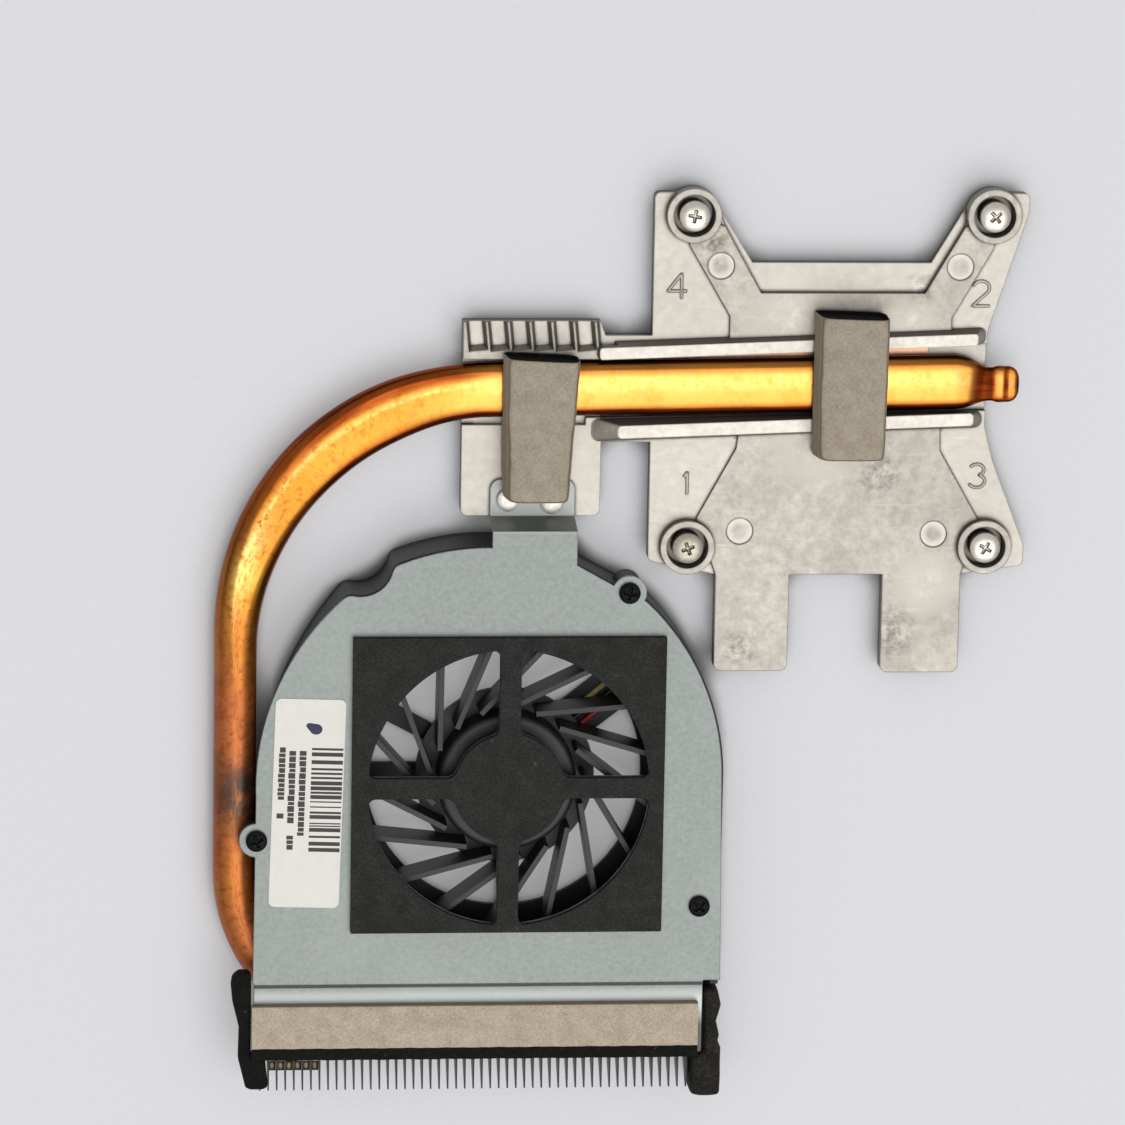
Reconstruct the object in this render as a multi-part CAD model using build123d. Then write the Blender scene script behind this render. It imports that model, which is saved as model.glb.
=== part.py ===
from build123d import *
import math
import os

os.makedirs("parts", exist_ok=True)

# Laptop cooling fan heatsink. Millimetres, +Z up.
# Origin: centre of the copper face that meets the processor, on the plane the part rests on.

# Levels
CONTACT_Z = 0.0
PLATE_BOTTOM = 2.4
CHANNEL_FLOOR = 3.6
LEDGE_TOP = 4.1
PAD_TOP = 4.7
WEB_TOP = 5.1
BOSS_TOP = 6.4
RAIL_TOP = 6.6
HOUSING_TOP = 10.5
SHEET = 0.5
COVER_TOP = HOUSING_TOP + SHEET
LIP_TOP = 10.4
FIN_TOP = LIP_TOP - SHEET
FIN_BOTTOM = 1.0
STRIP_TOP = 11.8

# Spring screws
SCREW_SPAN_X = 45.2
SCREW_SPAN_Y = 50.4
BOSS_R = 4.1
BORE_R = 3.15
SCREW_HOLE_R = 1.6
SCREW_R = 1.25
SCREW_NECK_R = 1.1
SCREW_GROOVE_R = 0.95
SCREW_HEAD_R = 2.3
SCREW_HEAD_H = 1.5
SCREW_HEAD_UP = 0.8
SCREW_TIP_Z = 0.4
BOSS_BOTTOM = PLATE_BOTTOM
BOSS_FLOOR = 2.8
SPRING_R = 2.0
SPRING_WIRE = 0.45
CLIP_R = 2.2
CLIP_T = 0.3

# Heat pipe
PIPE_Y = -0.35
PIPE_SLOPE = 1.0
PIPE_W = 8.3
PIPE_H = 3.0
PIPE_ROUND_W = 6.4
PIPE_ROUND_H = 6.1
PIPE_ROUND_Z = 5.0
PIPE_BEND_R = 38.5
PIPE_WEST = -90.4
PIPE_BEND_X = PIPE_WEST + PIPE_BEND_R
PIPE_TURN_R = 25.0
PIPE_TURN_Y = -75.0
PIPE_END_X = -24.0
PIPE_NECK_X = 18.0
PIPE_NECK_L = 3.6
PIPE_TIP_X = 27.2

# Fan
FAN_X = -49.4
FAN_Y = -60.9
FAN_EAST = -17.0
FAN_WEST = PIPE_WEST + PIPE_ROUND_W / 2 + 0.5
COVER_WEST = FAN_WEST - 1.0
OUTLET_Y = -92.0
WALL = 1.2
FLOOR = 1.0
INTAKE_R = 21.3
SPOKE_W = 3.2
GUARD_R = 8.4
COVER_SCREWS = [(FAN_WEST - 0.6, -69.0), (-31.7, -31.1), (-20.2, -79.6)]
EAR_R = 2.6
TAB_X0 = -52.4
TAB_X1 = -39.65

# Impeller and motor
BLADES = 17
BLADE_T = 0.8
BLADE_IN_R = 11.5
BLADE_OUT_R = 27.0
BLADE_SWEEP = 41.7
BLADE_START = 90.7
BLADE_TOP = 9.0
ROTOR_BOTTOM = 2.4
HUB_R = 10.5
HUB_TOP = 8.3
YOKE_R = 9.0
YOKE_TOP = 7.3
YOKE_T = 0.5
SHAFT_R = 0.75
SHAFT_GAP = 0.05
BEARING_R = 2.0
POST_R = 2.6
LEAD_R = 0.45
LEAD_ANGLE = 38.0

# Fin stack
FIN_COUNT = 51
FIN_PITCH = 1.3
FIN_T = 0.22
FIN_X0 = -86.6
FIN_NORTH = -93.2
FIN_SOUTH = -108.4
FIN_NOSE = 0.5

# Foam and fabric
FABRIC = 0.3
PAD_T = 1.2
GASKET_T = 1.8


def save(name, shape):
    export_step(shape, "parts/" + name + ".step")


def box(x0, x1, y0, y1, z0, z1):
    solid = Box(x1 - x0, y1 - y0, z1 - z0, align=(Align.MIN, Align.MIN, Align.MIN))
    return Pos(x0, y0, z0) * solid


def cyl(x, y, r, z0, z1):
    return Pos(x, y, z0) * Cylinder(r, z1 - z0, align=(Align.CENTER, Align.CENTER, Align.MIN))


def outline(start, *steps):
    """Closed face from straight steps (x, y) and arc steps ((through), (to))."""
    edges = []
    here = start
    for step in steps + (start,):
        if step == here:
            continue
        if isinstance(step[0], tuple):
            edges.append(ThreePointArc(here, step[0], step[1]))
            here = step[1]
        else:
            edges.append(Line(here, step))
            here = step
    return make_face(edges)


def prism(face, z0, z1):
    return extrude(Pos(0, 0, z0) * face, z1 - z0)


def round_corners(face, r, points):
    near = []
    for p in points:
        near.append(min(face.vertices(), key=lambda v: math.dist((v.X, v.Y), p)))
    return fillet(near, r)


def side_profile(points, x0, x1):
    """Profile drawn as (y, z) points, extruded along X."""
    face = make_face(Polyline(*points, close=True))
    return extrude(Plane.YZ.offset(x0) * face, x1 - x0)


# Die-cast aluminium plate
HX = SCREW_SPAN_X / 2
HY = SCREW_SPAN_Y / 2
SCREWS = {1: (-HX, -HY), 2: (HX, HY), 3: (HX, -HY), 4: (-HX, HY)}
CAST_N = HY + 3.3
LEG_Y0 = -HY - 4.4
LEG_Y1 = -HY - 19.6
CAST_W = -HX - 5.8
CAST_E = HX + 6.2
TAB_W = -56.8
TAB_E = -35.8
TAB_S = -20.6
COMB_N = 9.1

cast_face = outline(
    (CAST_W, CAST_N),
    (-HX + 2.0, CAST_N),
    (-18.4, HY + 0.5),
    (-13.5, 17.9),
    (13.5, 17.9),
    (18.2, HY + 0.6),
    (HX - 2.0, CAST_N),
    (CAST_E - 0.7, CAST_N),
    (CAST_E - 0.8, HY + 0.2),
    (22.3, 7.6),
    (22.3, -7.1),
    (23.7, -12.3),
    (CAST_E, -HY + 0.1),
    (CAST_E, -HY - 3.1),
    (19.2, LEG_Y0),
    (19.2, LEG_Y1),
    (7.3, LEG_Y1),
    (7.3, LEG_Y0),
    (-6.9, LEG_Y0),
    (-6.9, LEG_Y1 + 0.3),
    (-18.1, LEG_Y1 + 0.3),
    (-18.1, LEG_Y0),
    (CAST_W, -HY - 2.3),
    (CAST_W, -9.3),
    (TAB_E, -9.3),
    (TAB_E, TAB_S),
    (TAB_W, TAB_S),
    (TAB_W, COMB_N),
    (TAB_E - 0.4, COMB_N),
    (TAB_E + 0.4, 6.9),
    (CAST_W, 6.9),
)
leg_feet = [(19.2, LEG_Y1), (7.3, LEG_Y1), (-6.9, LEG_Y1), (-18.1, LEG_Y1)]
tab_feet = [(TAB_E, TAB_S), (TAB_W, TAB_S)]
cast_face = round_corners(cast_face, 1.1, leg_feet + tab_feet)
cast_tips = [(CAST_W, CAST_N), (CAST_E - 0.7, CAST_N), (CAST_E, -HY - 3.1), (CAST_W, -HY - 2.3)]
cast_face = round_corners(cast_face, 0.9, cast_tips)

# Upper web, a step higher than the corner pads, and the ledge along the notch
upper_web = outline(
    (-17.8, 23.4),
    (-12.2, 13.4),
    (12.6, 13.4),
    (18.4, 23.4),
    (HX, HY),
    (22.8, 20.3),
    (16.7, 9.7),
    (16.7, 6.0),
    (-16.8, 5.0),
    (-16.8, 9.9),
    (-23.1, 20.6),
    (-HX, HY),
)
ledge = outline(
    (-19.2, 27.0),
    (-13.5, 18.6),
    (13.5, 18.6),
    (19.0, 27.0),
    (18.4, 23.4),
    (12.6, 13.4),
    (-12.2, 13.4),
    (-17.8, 23.4),
)
lower_web = outline(
    (-15.0, -7.0),
    (-15.4, -10.2),
    (-21.2, -20.9),
    (-18.1, LEG_Y0),
    (-18.1, LEG_Y1),
    (-6.9, LEG_Y1),
    (-6.9, LEG_Y0),
    (7.3, LEG_Y0),
    (7.3, LEG_Y1),
    (19.2, LEG_Y1),
    (19.2, LEG_Y0),
    (21.7, -21.3),
    (15.5, -10.6),
    (15.4, -6.0),
)


def rail(foot, top, r_foot, r_top):
    """Rail with drafted walls, from the corners of its foot on the plate to those of its milled top."""
    foot_face = round_corners(outline(*foot), r_foot, foot)
    top_face = round_corners(outline(*top), r_top, top)
    return loft([Pos(0, 0, PAD_TOP - 0.3) * foot_face, Pos(0, 0, RAIL_TOP) * top_face], ruled=True)


upper_rail = rail(
    [(-37.2, 3.42), (22.2, 5.75), (22.2, 8.3), (-37.2, 6.0)],
    [(-36.4, 3.45), (20.6, 5.69), (20.6, 7.52), (-36.4, 5.28)],
    0.9,
    0.5,
)
lower_rail = rail(
    [(-38.0, -9.3), (22.0, -7.1), (22.0, -4.5), (-38.0, -5.6)],
    [(-33.4, -8.5), (20.2, -6.5), (20.2, -4.55), (-33.4, -6.55)],
    1.2,
    0.6,
)
channel = outline(
    (TAB_W - 1, -6.7),
    (-38.2, -6.7),
    (-38.2, -5.6),
    (24.0, -4.46),
    (24.0, 5.82),
    (-36.4, 3.45),
    (TAB_W - 1, 3.45),
)
window = outline((-30.0, -5.3), (13.5, -4.5), (13.5, 5.1), (-30.0, 3.4))

cast = prism(cast_face, PLATE_BOTTOM, PAD_TOP)
cast += prism(cast_face & upper_web, PAD_TOP - 0.5, WEB_TOP)
cast += prism(cast_face & lower_web, PAD_TOP - 0.5, WEB_TOP)
cast += box(TAB_W + 1.0, TAB_E - 1.0, TAB_S + 1.0, -6.7, PAD_TOP - 0.5, PAD_TOP)
cast -= prism(ledge, LEDGE_TOP, WEB_TOP + 1)
cast += upper_rail
cast += lower_rail
COMB_TOP = 5.8
COMB_POCKETS = 7
COMB_PITCH = 3.26
cast += box(TAB_W, TAB_E - 0.4, 3.45, COMB_N, PAD_TOP - 0.5, COMB_TOP)
pocket_floor = Pos(0, 3.9, PAD_TOP) * Rectangle(2.0, 6.0)
pocket_mouth = Pos(0, 3.5, COMB_TOP) * Rectangle(2.9, 6.8)
pocket = loft([pocket_floor, pocket_mouth], ruled=True)
for i in range(COMB_POCKETS):
    cast -= Pos(TAB_W + 2.3 + i * COMB_PITCH, 4.6, 0) * Rot(0, 0, 6) * pocket
cast -= prism(channel, CHANNEL_FLOOR, RAIL_TOP + 1)
cast -= prism(window, PLATE_BOTTOM - 1, CHANNEL_FLOOR + 1)
EJECTOR_MARKS = [(-18.3, 17.5), (17.8, 17.4), (-14.6, -22.9), (14.9, -23.4)]
for x, y in EJECTOR_MARKS:
    cast -= cyl(x, y, 2.05, WEB_TOP - 0.15, WEB_TOP + 1)
for x, y in SCREWS.values():
    cast += cyl(x, y, BOSS_R, BOSS_BOTTOM, BOSS_TOP)
for x, y in SCREWS.values():
    cast -= cyl(x, y, BORE_R, BOSS_FLOOR, BOSS_TOP + 1)
    cast -= cyl(x, y, SCREW_HOLE_R, BOSS_BOTTOM - 1, BOSS_TOP)

# Staked rivets that hold the fan flange on the tab
FLANGE_TOP = PAD_TOP + SHEET
RIVETS = [(-49.7, -18.0), (-43.1, -18.4)]
for x, y in RIVETS:
    cast += cyl(x, y, 1.0, PAD_TOP - 0.5, FLANGE_TOP + 0.5)
    cast += cyl(x, y, 1.7, FLANGE_TOP, FLANGE_TOP + 0.5)
save("cast_plate", cast)

# Copper base under the pipe, with the square pad that meets the processor
PAD_HALF = 13.0
base = prism(window, PLATE_BOTTOM, CHANNEL_FLOOR)
base += box(-PAD_HALF, PAD_HALF, -PAD_HALF, PAD_HALF, CONTACT_Z, PLATE_BOTTOM)
save("copper_base_plate", base)

# Heat pipe: flat run, widening bend, round run, turn into the fins
FLAT_Z = CHANNEL_FLOOR + PIPE_H / 2
SLOPE = math.radians(PIPE_SLOPE)


def run_y(x):
    """Middle of the pipe's flat run, which climbs slightly towards the east."""
    return PIPE_Y + x * math.tan(SLOPE)


PIPE_BEND_Y = run_y(PIPE_BEND_X - PIPE_BEND_R * math.sin(SLOPE)) - PIPE_BEND_R * math.cos(SLOPE)


def pipe_station(angle, width, height, z):
    """Pipe section at an angle around the large bend, 0 at its east end."""
    a = math.radians(90 + angle)
    x = PIPE_BEND_X + PIPE_BEND_R * math.cos(a)
    y = PIPE_BEND_Y + PIPE_BEND_R * math.sin(a)
    across = (math.cos(a), math.sin(a), 0)
    along = (-math.sin(a), math.cos(a), 0)
    return Plane((x, y, z), x_dir=across, z_dir=along) * SlotOverall(width, height)


def bend_point(angle):
    a = math.radians(90 + angle)
    return (
        PIPE_BEND_X + PIPE_BEND_R * math.cos(a),
        PIPE_BEND_Y + PIPE_BEND_R * math.sin(a),
        FLAT_Z,
    )


FLAT_END = 9
flat_start = (PIPE_NECK_X, run_y(PIPE_NECK_X), FLAT_Z)
flat_way = (-math.cos(SLOPE), -math.sin(SLOPE), 0)
flat_across = (-math.sin(SLOPE), math.cos(SLOPE), 0)
flat_face = Plane(flat_start, x_dir=flat_across, z_dir=flat_way) * SlotOverall(PIPE_W, PIPE_H)
flat_run = Line(flat_start, bend_point(PIPE_SLOPE))
flat_middle = bend_point((PIPE_SLOPE + FLAT_END) / 2)
flat_bend = ThreePointArc(bend_point(PIPE_SLOPE), flat_middle, bend_point(FLAT_END))
pipe = sweep(flat_face, path=Wire([flat_run, flat_bend]))
BEND_STATIONS = [
    (FLAT_END, PIPE_W, PIPE_H, FLAT_Z),
    (24, PIPE_W + 0.9, PIPE_H + 0.2, FLAT_Z + 0.1),
    (45, PIPE_W + 0.7, PIPE_H + 0.9, FLAT_Z + 0.1),
    (68, PIPE_W - 0.4, PIPE_H + 2.1, PIPE_ROUND_Z),
    (90, PIPE_ROUND_W, PIPE_ROUND_H, PIPE_ROUND_Z),
]
pipe += loft([pipe_station(*station) for station in BEND_STATIONS])
round_start = (PIPE_WEST, PIPE_BEND_Y, PIPE_ROUND_Z)
turn_start = (PIPE_WEST, PIPE_TURN_Y, PIPE_ROUND_Z)
turn_centre = (PIPE_WEST + PIPE_TURN_R, PIPE_TURN_Y, PIPE_ROUND_Z)
turn_end = (PIPE_WEST + PIPE_TURN_R, PIPE_TURN_Y - PIPE_TURN_R, PIPE_ROUND_Z)
down = Line(round_start, turn_start)
half = PIPE_TURN_R * math.sqrt(0.5)
turn = ThreePointArc(turn_start, (turn_centre[0] - half, turn_centre[1] - half, PIPE_ROUND_Z), turn_end)
inside = Line(turn_end, (PIPE_END_X, turn_end[1], PIPE_ROUND_Z))
pipe += sweep(pipe_station(90, PIPE_ROUND_W, PIPE_ROUND_H, PIPE_ROUND_Z), path=Wire([down, turn, inside]))

# Pinched tip: a taper to the neck, a crimped ridge and a round end
neck_place = Plane((PIPE_NECK_X + PIPE_NECK_L, PIPE_Y, FLAT_Z), x_dir=(0, 1, 0), z_dir=(-1, 0, 0))
pipe += loft([flat_face, neck_place * SlotOverall(5.1, 1.5)])
TIP_L = PIPE_TIP_X - PIPE_NECK_X - PIPE_NECK_L + 0.5
tip = Pos(PIPE_TIP_X - TIP_L / 2, PIPE_Y, FLAT_Z - 0.6) * RectangleRounded(TIP_L, 5.5, 1.8)
pipe += extrude(tip, 1.2)
pipe += box(PIPE_TIP_X - 4.0, PIPE_TIP_X - 2.1, PIPE_Y - 2.8, PIPE_Y + 2.8, FLAT_Z - 0.8, FLAT_Z + 0.8)
save("heat_pipe", pipe)


def strip(plan, profile):
    """Foam core and fabric wrap over a plan (west, east by end) and a (y, z) profile."""
    (nw, ne, y_n), (sw, se, y_s) = plan
    outer = outline((nw, y_n), (ne, y_n), (se, y_s), (sw, y_s))
    reach = 4.0
    slope_w = (sw - nw) / (y_n - y_s) * reach
    slope_e = (se - ne) / (y_n - y_s) * reach
    inner = outline(
        (nw + FABRIC - slope_w, y_n + reach),
        (ne - FABRIC - slope_e, y_n + reach),
        (se - FABRIC + slope_e, y_s - reach),
        (sw + FABRIC + slope_w, y_s - reach),
    )
    body = side_profile(profile, min(nw, sw) - 1, max(ne, se) + 1)
    block = prism(outer, 0, STRIP_TOP) & body
    core = block & prism(inner, 0, STRIP_TOP - FABRIC)
    wrap = block - prism(inner, 0, STRIP_TOP - FABRIC)
    return core, wrap


# Left strip: over the pipe, down onto the tab and the fan flange
PIPE_N = run_y(-45.0) + PIPE_W / 2 + 0.35
PIPE_S = run_y(-45.0) - PIPE_W / 2 - 0.35
PIPE_TOP = CHANNEL_FLOOR + PIPE_H
left_profile = [
    (5.2, STRIP_TOP),
    (5.2, 5.8),
    (PIPE_N, 5.8),
    (PIPE_N, PIPE_TOP),
    (PIPE_S, PIPE_TOP),
    (PIPE_S, PAD_TOP),
    (-14.6, PAD_TOP),
    (-14.6, FLANGE_TOP + 0.6),
    (-17.2, FLANGE_TOP + 0.6),
    (-17.2, STRIP_TOP),
]
core, wrap = strip([(-50.4, -39.9, 5.2), (-50.2, -41.1, -17.2)], left_profile)
save("left_strip_foam", core)
save("left_strip_fabric", wrap)

# Right strip: over both rails and the pipe
right_profile = [
    (10.9, STRIP_TOP),
    (10.9, WEB_TOP),
    (9.0, WEB_TOP),
    (9.0, RAIL_TOP),
    (-8.6, RAIL_TOP),
    (-8.6, WEB_TOP),
    (-11.1, WEB_TOP),
    (-11.1, STRIP_TOP),
]
core, wrap = strip([(-3.9, 6.6, 10.9), (-3.6, 6.1, -11.1)], right_profile)
save("right_strip_foam", core)
save("right_strip_fabric", wrap)

# Spring screws with their coil springs and retaining clips
HEAD_TOP = BOSS_TOP + SCREW_HEAD_UP
HEAD_BOTTOM = HEAD_TOP - SCREW_HEAD_H
GROOVE_TOP = BOSS_BOTTOM - 0.05
for number, (x, y) in SCREWS.items():
    thread = cyl(x, y, SCREW_R, SCREW_TIP_Z, GROOVE_TOP - CLIP_T)
    screw = chamfer(thread.edges().group_by(Axis.Z)[-1], 0.2)
    screw += cyl(x, y, SCREW_GROOVE_R, SCREW_TIP_Z + 0.5, GROOVE_TOP + 0.2)
    screw += cyl(x, y, SCREW_NECK_R, GROOVE_TOP, HEAD_BOTTOM + 0.5)
    screw += cyl(x, y, SCREW_HEAD_R, HEAD_BOTTOM, HEAD_TOP)
    for turn_deg in (0, 90):
        slot = Box(2.2, 0.55, 1.6)
        screw -= Pos(x, y, HEAD_TOP) * Rot(0, 0, turn_deg + 20 * number) * slot
    save(f"mount_screw_{number}", screw)
    coil = cyl(x, y, SPRING_R + SPRING_WIRE / 2, BOSS_FLOOR, HEAD_BOTTOM)
    coil -= cyl(x, y, SPRING_R - SPRING_WIRE / 2, 0, BOSS_TOP + 1)
    save(f"screw_spring_{number}", coil)
    clip = cyl(x, y, CLIP_R, GROOVE_TOP - CLIP_T, GROOVE_TOP) - cyl(x, y, SCREW_GROOVE_R, 0, BOSS_TOP)
    clip -= box(x, x + 3, y - 0.8, y + 0.8, 0, BOSS_TOP)
    save(f"retaining_clip_{number}", clip)

# Fan cover: scroll-shaped sheet with guard, mounting tab and outlet lip
FOLD_Y = OUTLET_Y + 0.7
cover_face = outline(
    (TAB_X0, -24.2),
    ((-60.5, -25.0), (-67.1, -27.1)),
    ((-69.6, -31.0), (-73.8, -31.3)),
    ((COVER_WEST + 4.4, -43.4), (COVER_WEST + 0.3, -62.7)),
    (COVER_WEST, FOLD_Y),
    (FAN_EAST + 0.3, FOLD_Y),
    (FAN_EAST - 0.2, -58.5),
    ((-21.2, -43.0), (-29.1, -32.5)),
    (-34.1, -30.0),
    (TAB_X1, -26.9),
    (TAB_X1, -24.2),
)
cover_face = round_corners(cover_face, WALL + 0.4, [(-67.1, -27.1), (-73.8, -31.3)])
intake = Pos(FAN_X, FAN_Y) * Circle(INTAKE_R)


def guard_bars(width, r):
    """Four spokes and the middle disc that cross the intake."""
    bars = Rectangle(2 * INTAKE_R + 2, width) + Rectangle(width, 2 * INTAKE_R + 2) + Circle(r)
    bars = fillet([v for v in bars.vertices() if math.hypot(v.X, v.Y) < INTAKE_R - 2], 1.6)
    return Pos(FAN_X, FAN_Y) * bars


bars = guard_bars(SPOKE_W, GUARD_R)
cover_plan = cover_face
for x, y in COVER_SCREWS[:2]:
    cover_plan += Pos(x, y) * Circle(EAR_R)
cover_plan -= intake - bars
cover = prism(cover_plan, HOUSING_TOP, COVER_TOP)
tab_profile = [
    (-24.6, COVER_TOP),
    (-21.7, COVER_TOP),
    (-20.5, FLANGE_TOP),
    (-14.9, FLANGE_TOP),
    (-14.9, PAD_TOP),
    (-20.9, PAD_TOP),
    (-22.1, HOUSING_TOP),
    (-24.6, HOUSING_TOP),
]
tab = side_profile(tab_profile, TAB_X0, TAB_X1)
tab = fillet(tab.edges().filter_by(Axis.Z).group_by(Axis.Y)[-1], 1.6)
for x, y in RIVETS:
    tab -= cyl(x, y, 1.2, 0, FLANGE_TOP + 1)
cover += tab
LIP_S = OUTLET_Y - 10.8
LIP_E = FAN_EAST - 2.3
lip_profile = [
    (FOLD_Y + 0.6, COVER_TOP),
    (FOLD_Y - 0.2, COVER_TOP),
    (FOLD_Y - 0.9, LIP_TOP),
    (LIP_S, LIP_TOP),
    (LIP_S, FIN_TOP),
    (FOLD_Y - 1.1, FIN_TOP),
    (FOLD_Y - 0.4, HOUSING_TOP),
    (FOLD_Y + 0.6, HOUSING_TOP),
]
cover += side_profile(lip_profile, COVER_WEST + 0.2, LIP_E)
for x, y in COVER_SCREWS:
    cover -= cyl(x, y, 1.1, 0, COVER_TOP + 1)
save("fan_cover", cover)

# Die-cut intake pad on the cover
PAD_X0 = FAN_X - INTAKE_R - 2.4
PAD_X1 = FAN_X + INTAKE_R + 2.1
PAD_Y0 = FAN_Y - INTAKE_R - 1.1
PAD_Y1 = FAN_Y + INTAKE_R + 1.9
pad_face = Pos((PAD_X0 + PAD_X1) / 2, (PAD_Y0 + PAD_Y1) / 2) * Rectangle(PAD_X1 - PAD_X0, PAD_Y1 - PAD_Y0)
pad_face -= intake - bars
save("intake_pad", prism(pad_face, COVER_TOP, COVER_TOP + PAD_T))

# Plastic housing: scroll wall that follows the pipe at its corner, floor with struts, bearing post
PIPE_SIDE_R = PIPE_TURN_R - PIPE_ROUND_W / 2 - 0.4


def pipe_side(y):
    """Point at a given y on the arc just inside the pipe's turn into the fins."""
    return (turn_centre[0] - math.sqrt(PIPE_SIDE_R**2 - (y - PIPE_TURN_Y) ** 2), y)


OUTLET_WEST = pipe_side(OUTLET_Y)[0]
housing_face = outline(
    (TAB_X0, -24.0),
    ((-60.5, -24.8), (-67.2, -26.9)),
    ((-69.7, -30.8), (-73.9, -31.1)),
    ((FAN_WEST + 4.6, -43.6), (FAN_WEST, -62.0)),
    (FAN_WEST, PIPE_TURN_Y + 1.0),
    (pipe_side(PIPE_TURN_Y - 10.0), (OUTLET_WEST, OUTLET_Y)),
    (FAN_EAST, OUTLET_Y),
    (FAN_EAST + 0.1, -58.5),
    ((-21.0, -42.8), (-28.9, -32.3)),
    (-34.1, -29.8),
    (TAB_X1, -26.7),
    (TAB_X1, -24.0),
)
air_face = offset(housing_face, -WALL)
housing_face = round_corners(housing_face, WALL + 0.4, [(-67.2, -26.9), (-73.9, -31.1)])
housing = prism(housing_face, 0, HOUSING_TOP) - prism(air_face, FLOOR, HOUSING_TOP + 1)
housing -= box(OUTLET_WEST + WALL, FAN_EAST - WALL, OUTLET_Y - 1, OUTLET_Y + 3, FLOOR, HOUSING_TOP + 1)
housing -= box(COVER_WEST, LIP_E + 0.3, OUTLET_Y - 1, FOLD_Y + 0.2, FIN_TOP - 0.1, HOUSING_TOP + 1)
housing += box(OUTLET_WEST + WALL, FAN_EAST - WALL, OUTLET_Y - 3.6, OUTLET_Y + 0.5, 0, FLOOR)
housing -= cyl(FAN_X, FAN_Y, INTAKE_R - 0.3, -1, FLOOR + 0.1)
housing += cyl(FAN_X, FAN_Y, HUB_R + 0.3, 0, FLOOR)
STRUTS = [(180, 2.8), (152, 2.8), (LEAD_ANGLE, 6.6), (272, 2.8)]
for angle, width in STRUTS:
    strut = box(HUB_R - 1, INTAKE_R + 0.7, -width / 2, width / 2, 0, FLOOR)
    housing += Pos(FAN_X, FAN_Y, 0) * Rot(0, 0, angle) * strut
housing += cyl(FAN_X, FAN_Y, POST_R, 0, 6.2)
housing -= cyl(FAN_X, FAN_Y, BEARING_R, FLOOR, 7)
housing += cyl(*COVER_SCREWS[0], EAR_R, 8.7, HOUSING_TOP)
housing += cyl(*COVER_SCREWS[1], 2.3, 4.4, HOUSING_TOP)
housing += cyl(*COVER_SCREWS[2], 2.3, 0, HOUSING_TOP)
for x, y in COVER_SCREWS:
    housing -= cyl(x, y, 1.0, 8.9 if x < FAN_WEST else 6.0, HOUSING_TOP + 1)
LEAD_GATE = box(28, 40, -2.4, 2.4, FLOOR, FLOOR + 1.4)
lead_frame = Pos(FAN_X, FAN_Y, 0) * Rot(0, 0, LEAD_ANGLE)
housing -= lead_frame * LEAD_GATE
save("fan_housing", housing)

# Cover screws, one group of three
screws = []
for x, y in COVER_SCREWS:
    head = cyl(x, y, 1.6, COVER_TOP, COVER_TOP + 0.8)
    shank = cyl(x, y, 0.75, 9.0 if x < FAN_WEST else 6.4, COVER_TOP + 0.4)
    screw = head + shank
    for turn_deg in (20, 110):
        screw -= Pos(x, y, COVER_TOP + 0.8) * Rot(0, 0, turn_deg) * Box(1.7, 0.4, 0.9)
    screws.append(screw.solid())
save("cover_screws", Compound(children=screws))

# Impeller: hub, foot ring and backward-leaning straight blades
impeller = cyl(0, 0, HUB_R, ROTOR_BOTTOM, HUB_TOP)
impeller = fillet(impeller.edges().group_by(Axis.Z)[-1], 1.0)
impeller += cyl(0, 0, 13.6, ROTOR_BOTTOM, ROTOR_BOTTOM + 0.8)
for i in range(BLADES):
    out_deg = BLADE_START + i * 360 / BLADES
    a_in = math.radians(out_deg + BLADE_SWEEP)
    a_out = math.radians(out_deg)
    x0, y0 = BLADE_IN_R * math.cos(a_in), BLADE_IN_R * math.sin(a_in)
    x1, y1 = BLADE_OUT_R * math.cos(a_out), BLADE_OUT_R * math.sin(a_out)
    length = math.dist((x0, y0), (x1, y1))
    lean = math.degrees(math.atan2(y1 - y0, x1 - x0))
    blade = box(0, length, -BLADE_T / 2, BLADE_T / 2, ROTOR_BOTTOM, BLADE_TOP)
    impeller += Pos(x0, y0, 0) * Rot(0, 0, lean) * blade
impeller -= cyl(0, 0, YOKE_R, 0, YOKE_TOP)
fan_frame = Pos(FAN_X, FAN_Y, 0)
save("impeller", fan_frame * impeller)

# Motor: yoke, magnet and shaft turn; bearing, stator, coils and board stay
yoke = cyl(0, 0, YOKE_R, ROTOR_BOTTOM + 0.2, YOKE_TOP)
yoke -= cyl(0, 0, YOKE_R - YOKE_T, 0, YOKE_TOP - YOKE_T)
save("rotor_yoke", fan_frame * yoke)
magnet = cyl(0, 0, YOKE_R - YOKE_T, ROTOR_BOTTOM + 0.4, 6.6) - cyl(0, 0, YOKE_R - YOKE_T - 1.2, 0, 7)
save("rotor_magnet", fan_frame * magnet)
save("rotor_shaft", fan_frame * cyl(0, 0, SHAFT_R, FLOOR + 0.2, YOKE_TOP - YOKE_T))
sleeve = cyl(0, 0, BEARING_R, FLOOR, 6.0) - cyl(0, 0, SHAFT_R + SHAFT_GAP, 0, 7)
save("bearing_sleeve", fan_frame * sleeve)
CORE_Z0, CORE_Z1 = 3.2, 5.0
stator = cyl(0, 0, 3.6, CORE_Z0, CORE_Z1)
POLE_R = 6.7
crown = cyl(0, 0, POLE_R, CORE_Z0, CORE_Z1) - cyl(0, 0, POLE_R - 0.8, 0, 7)
coils = []
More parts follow.
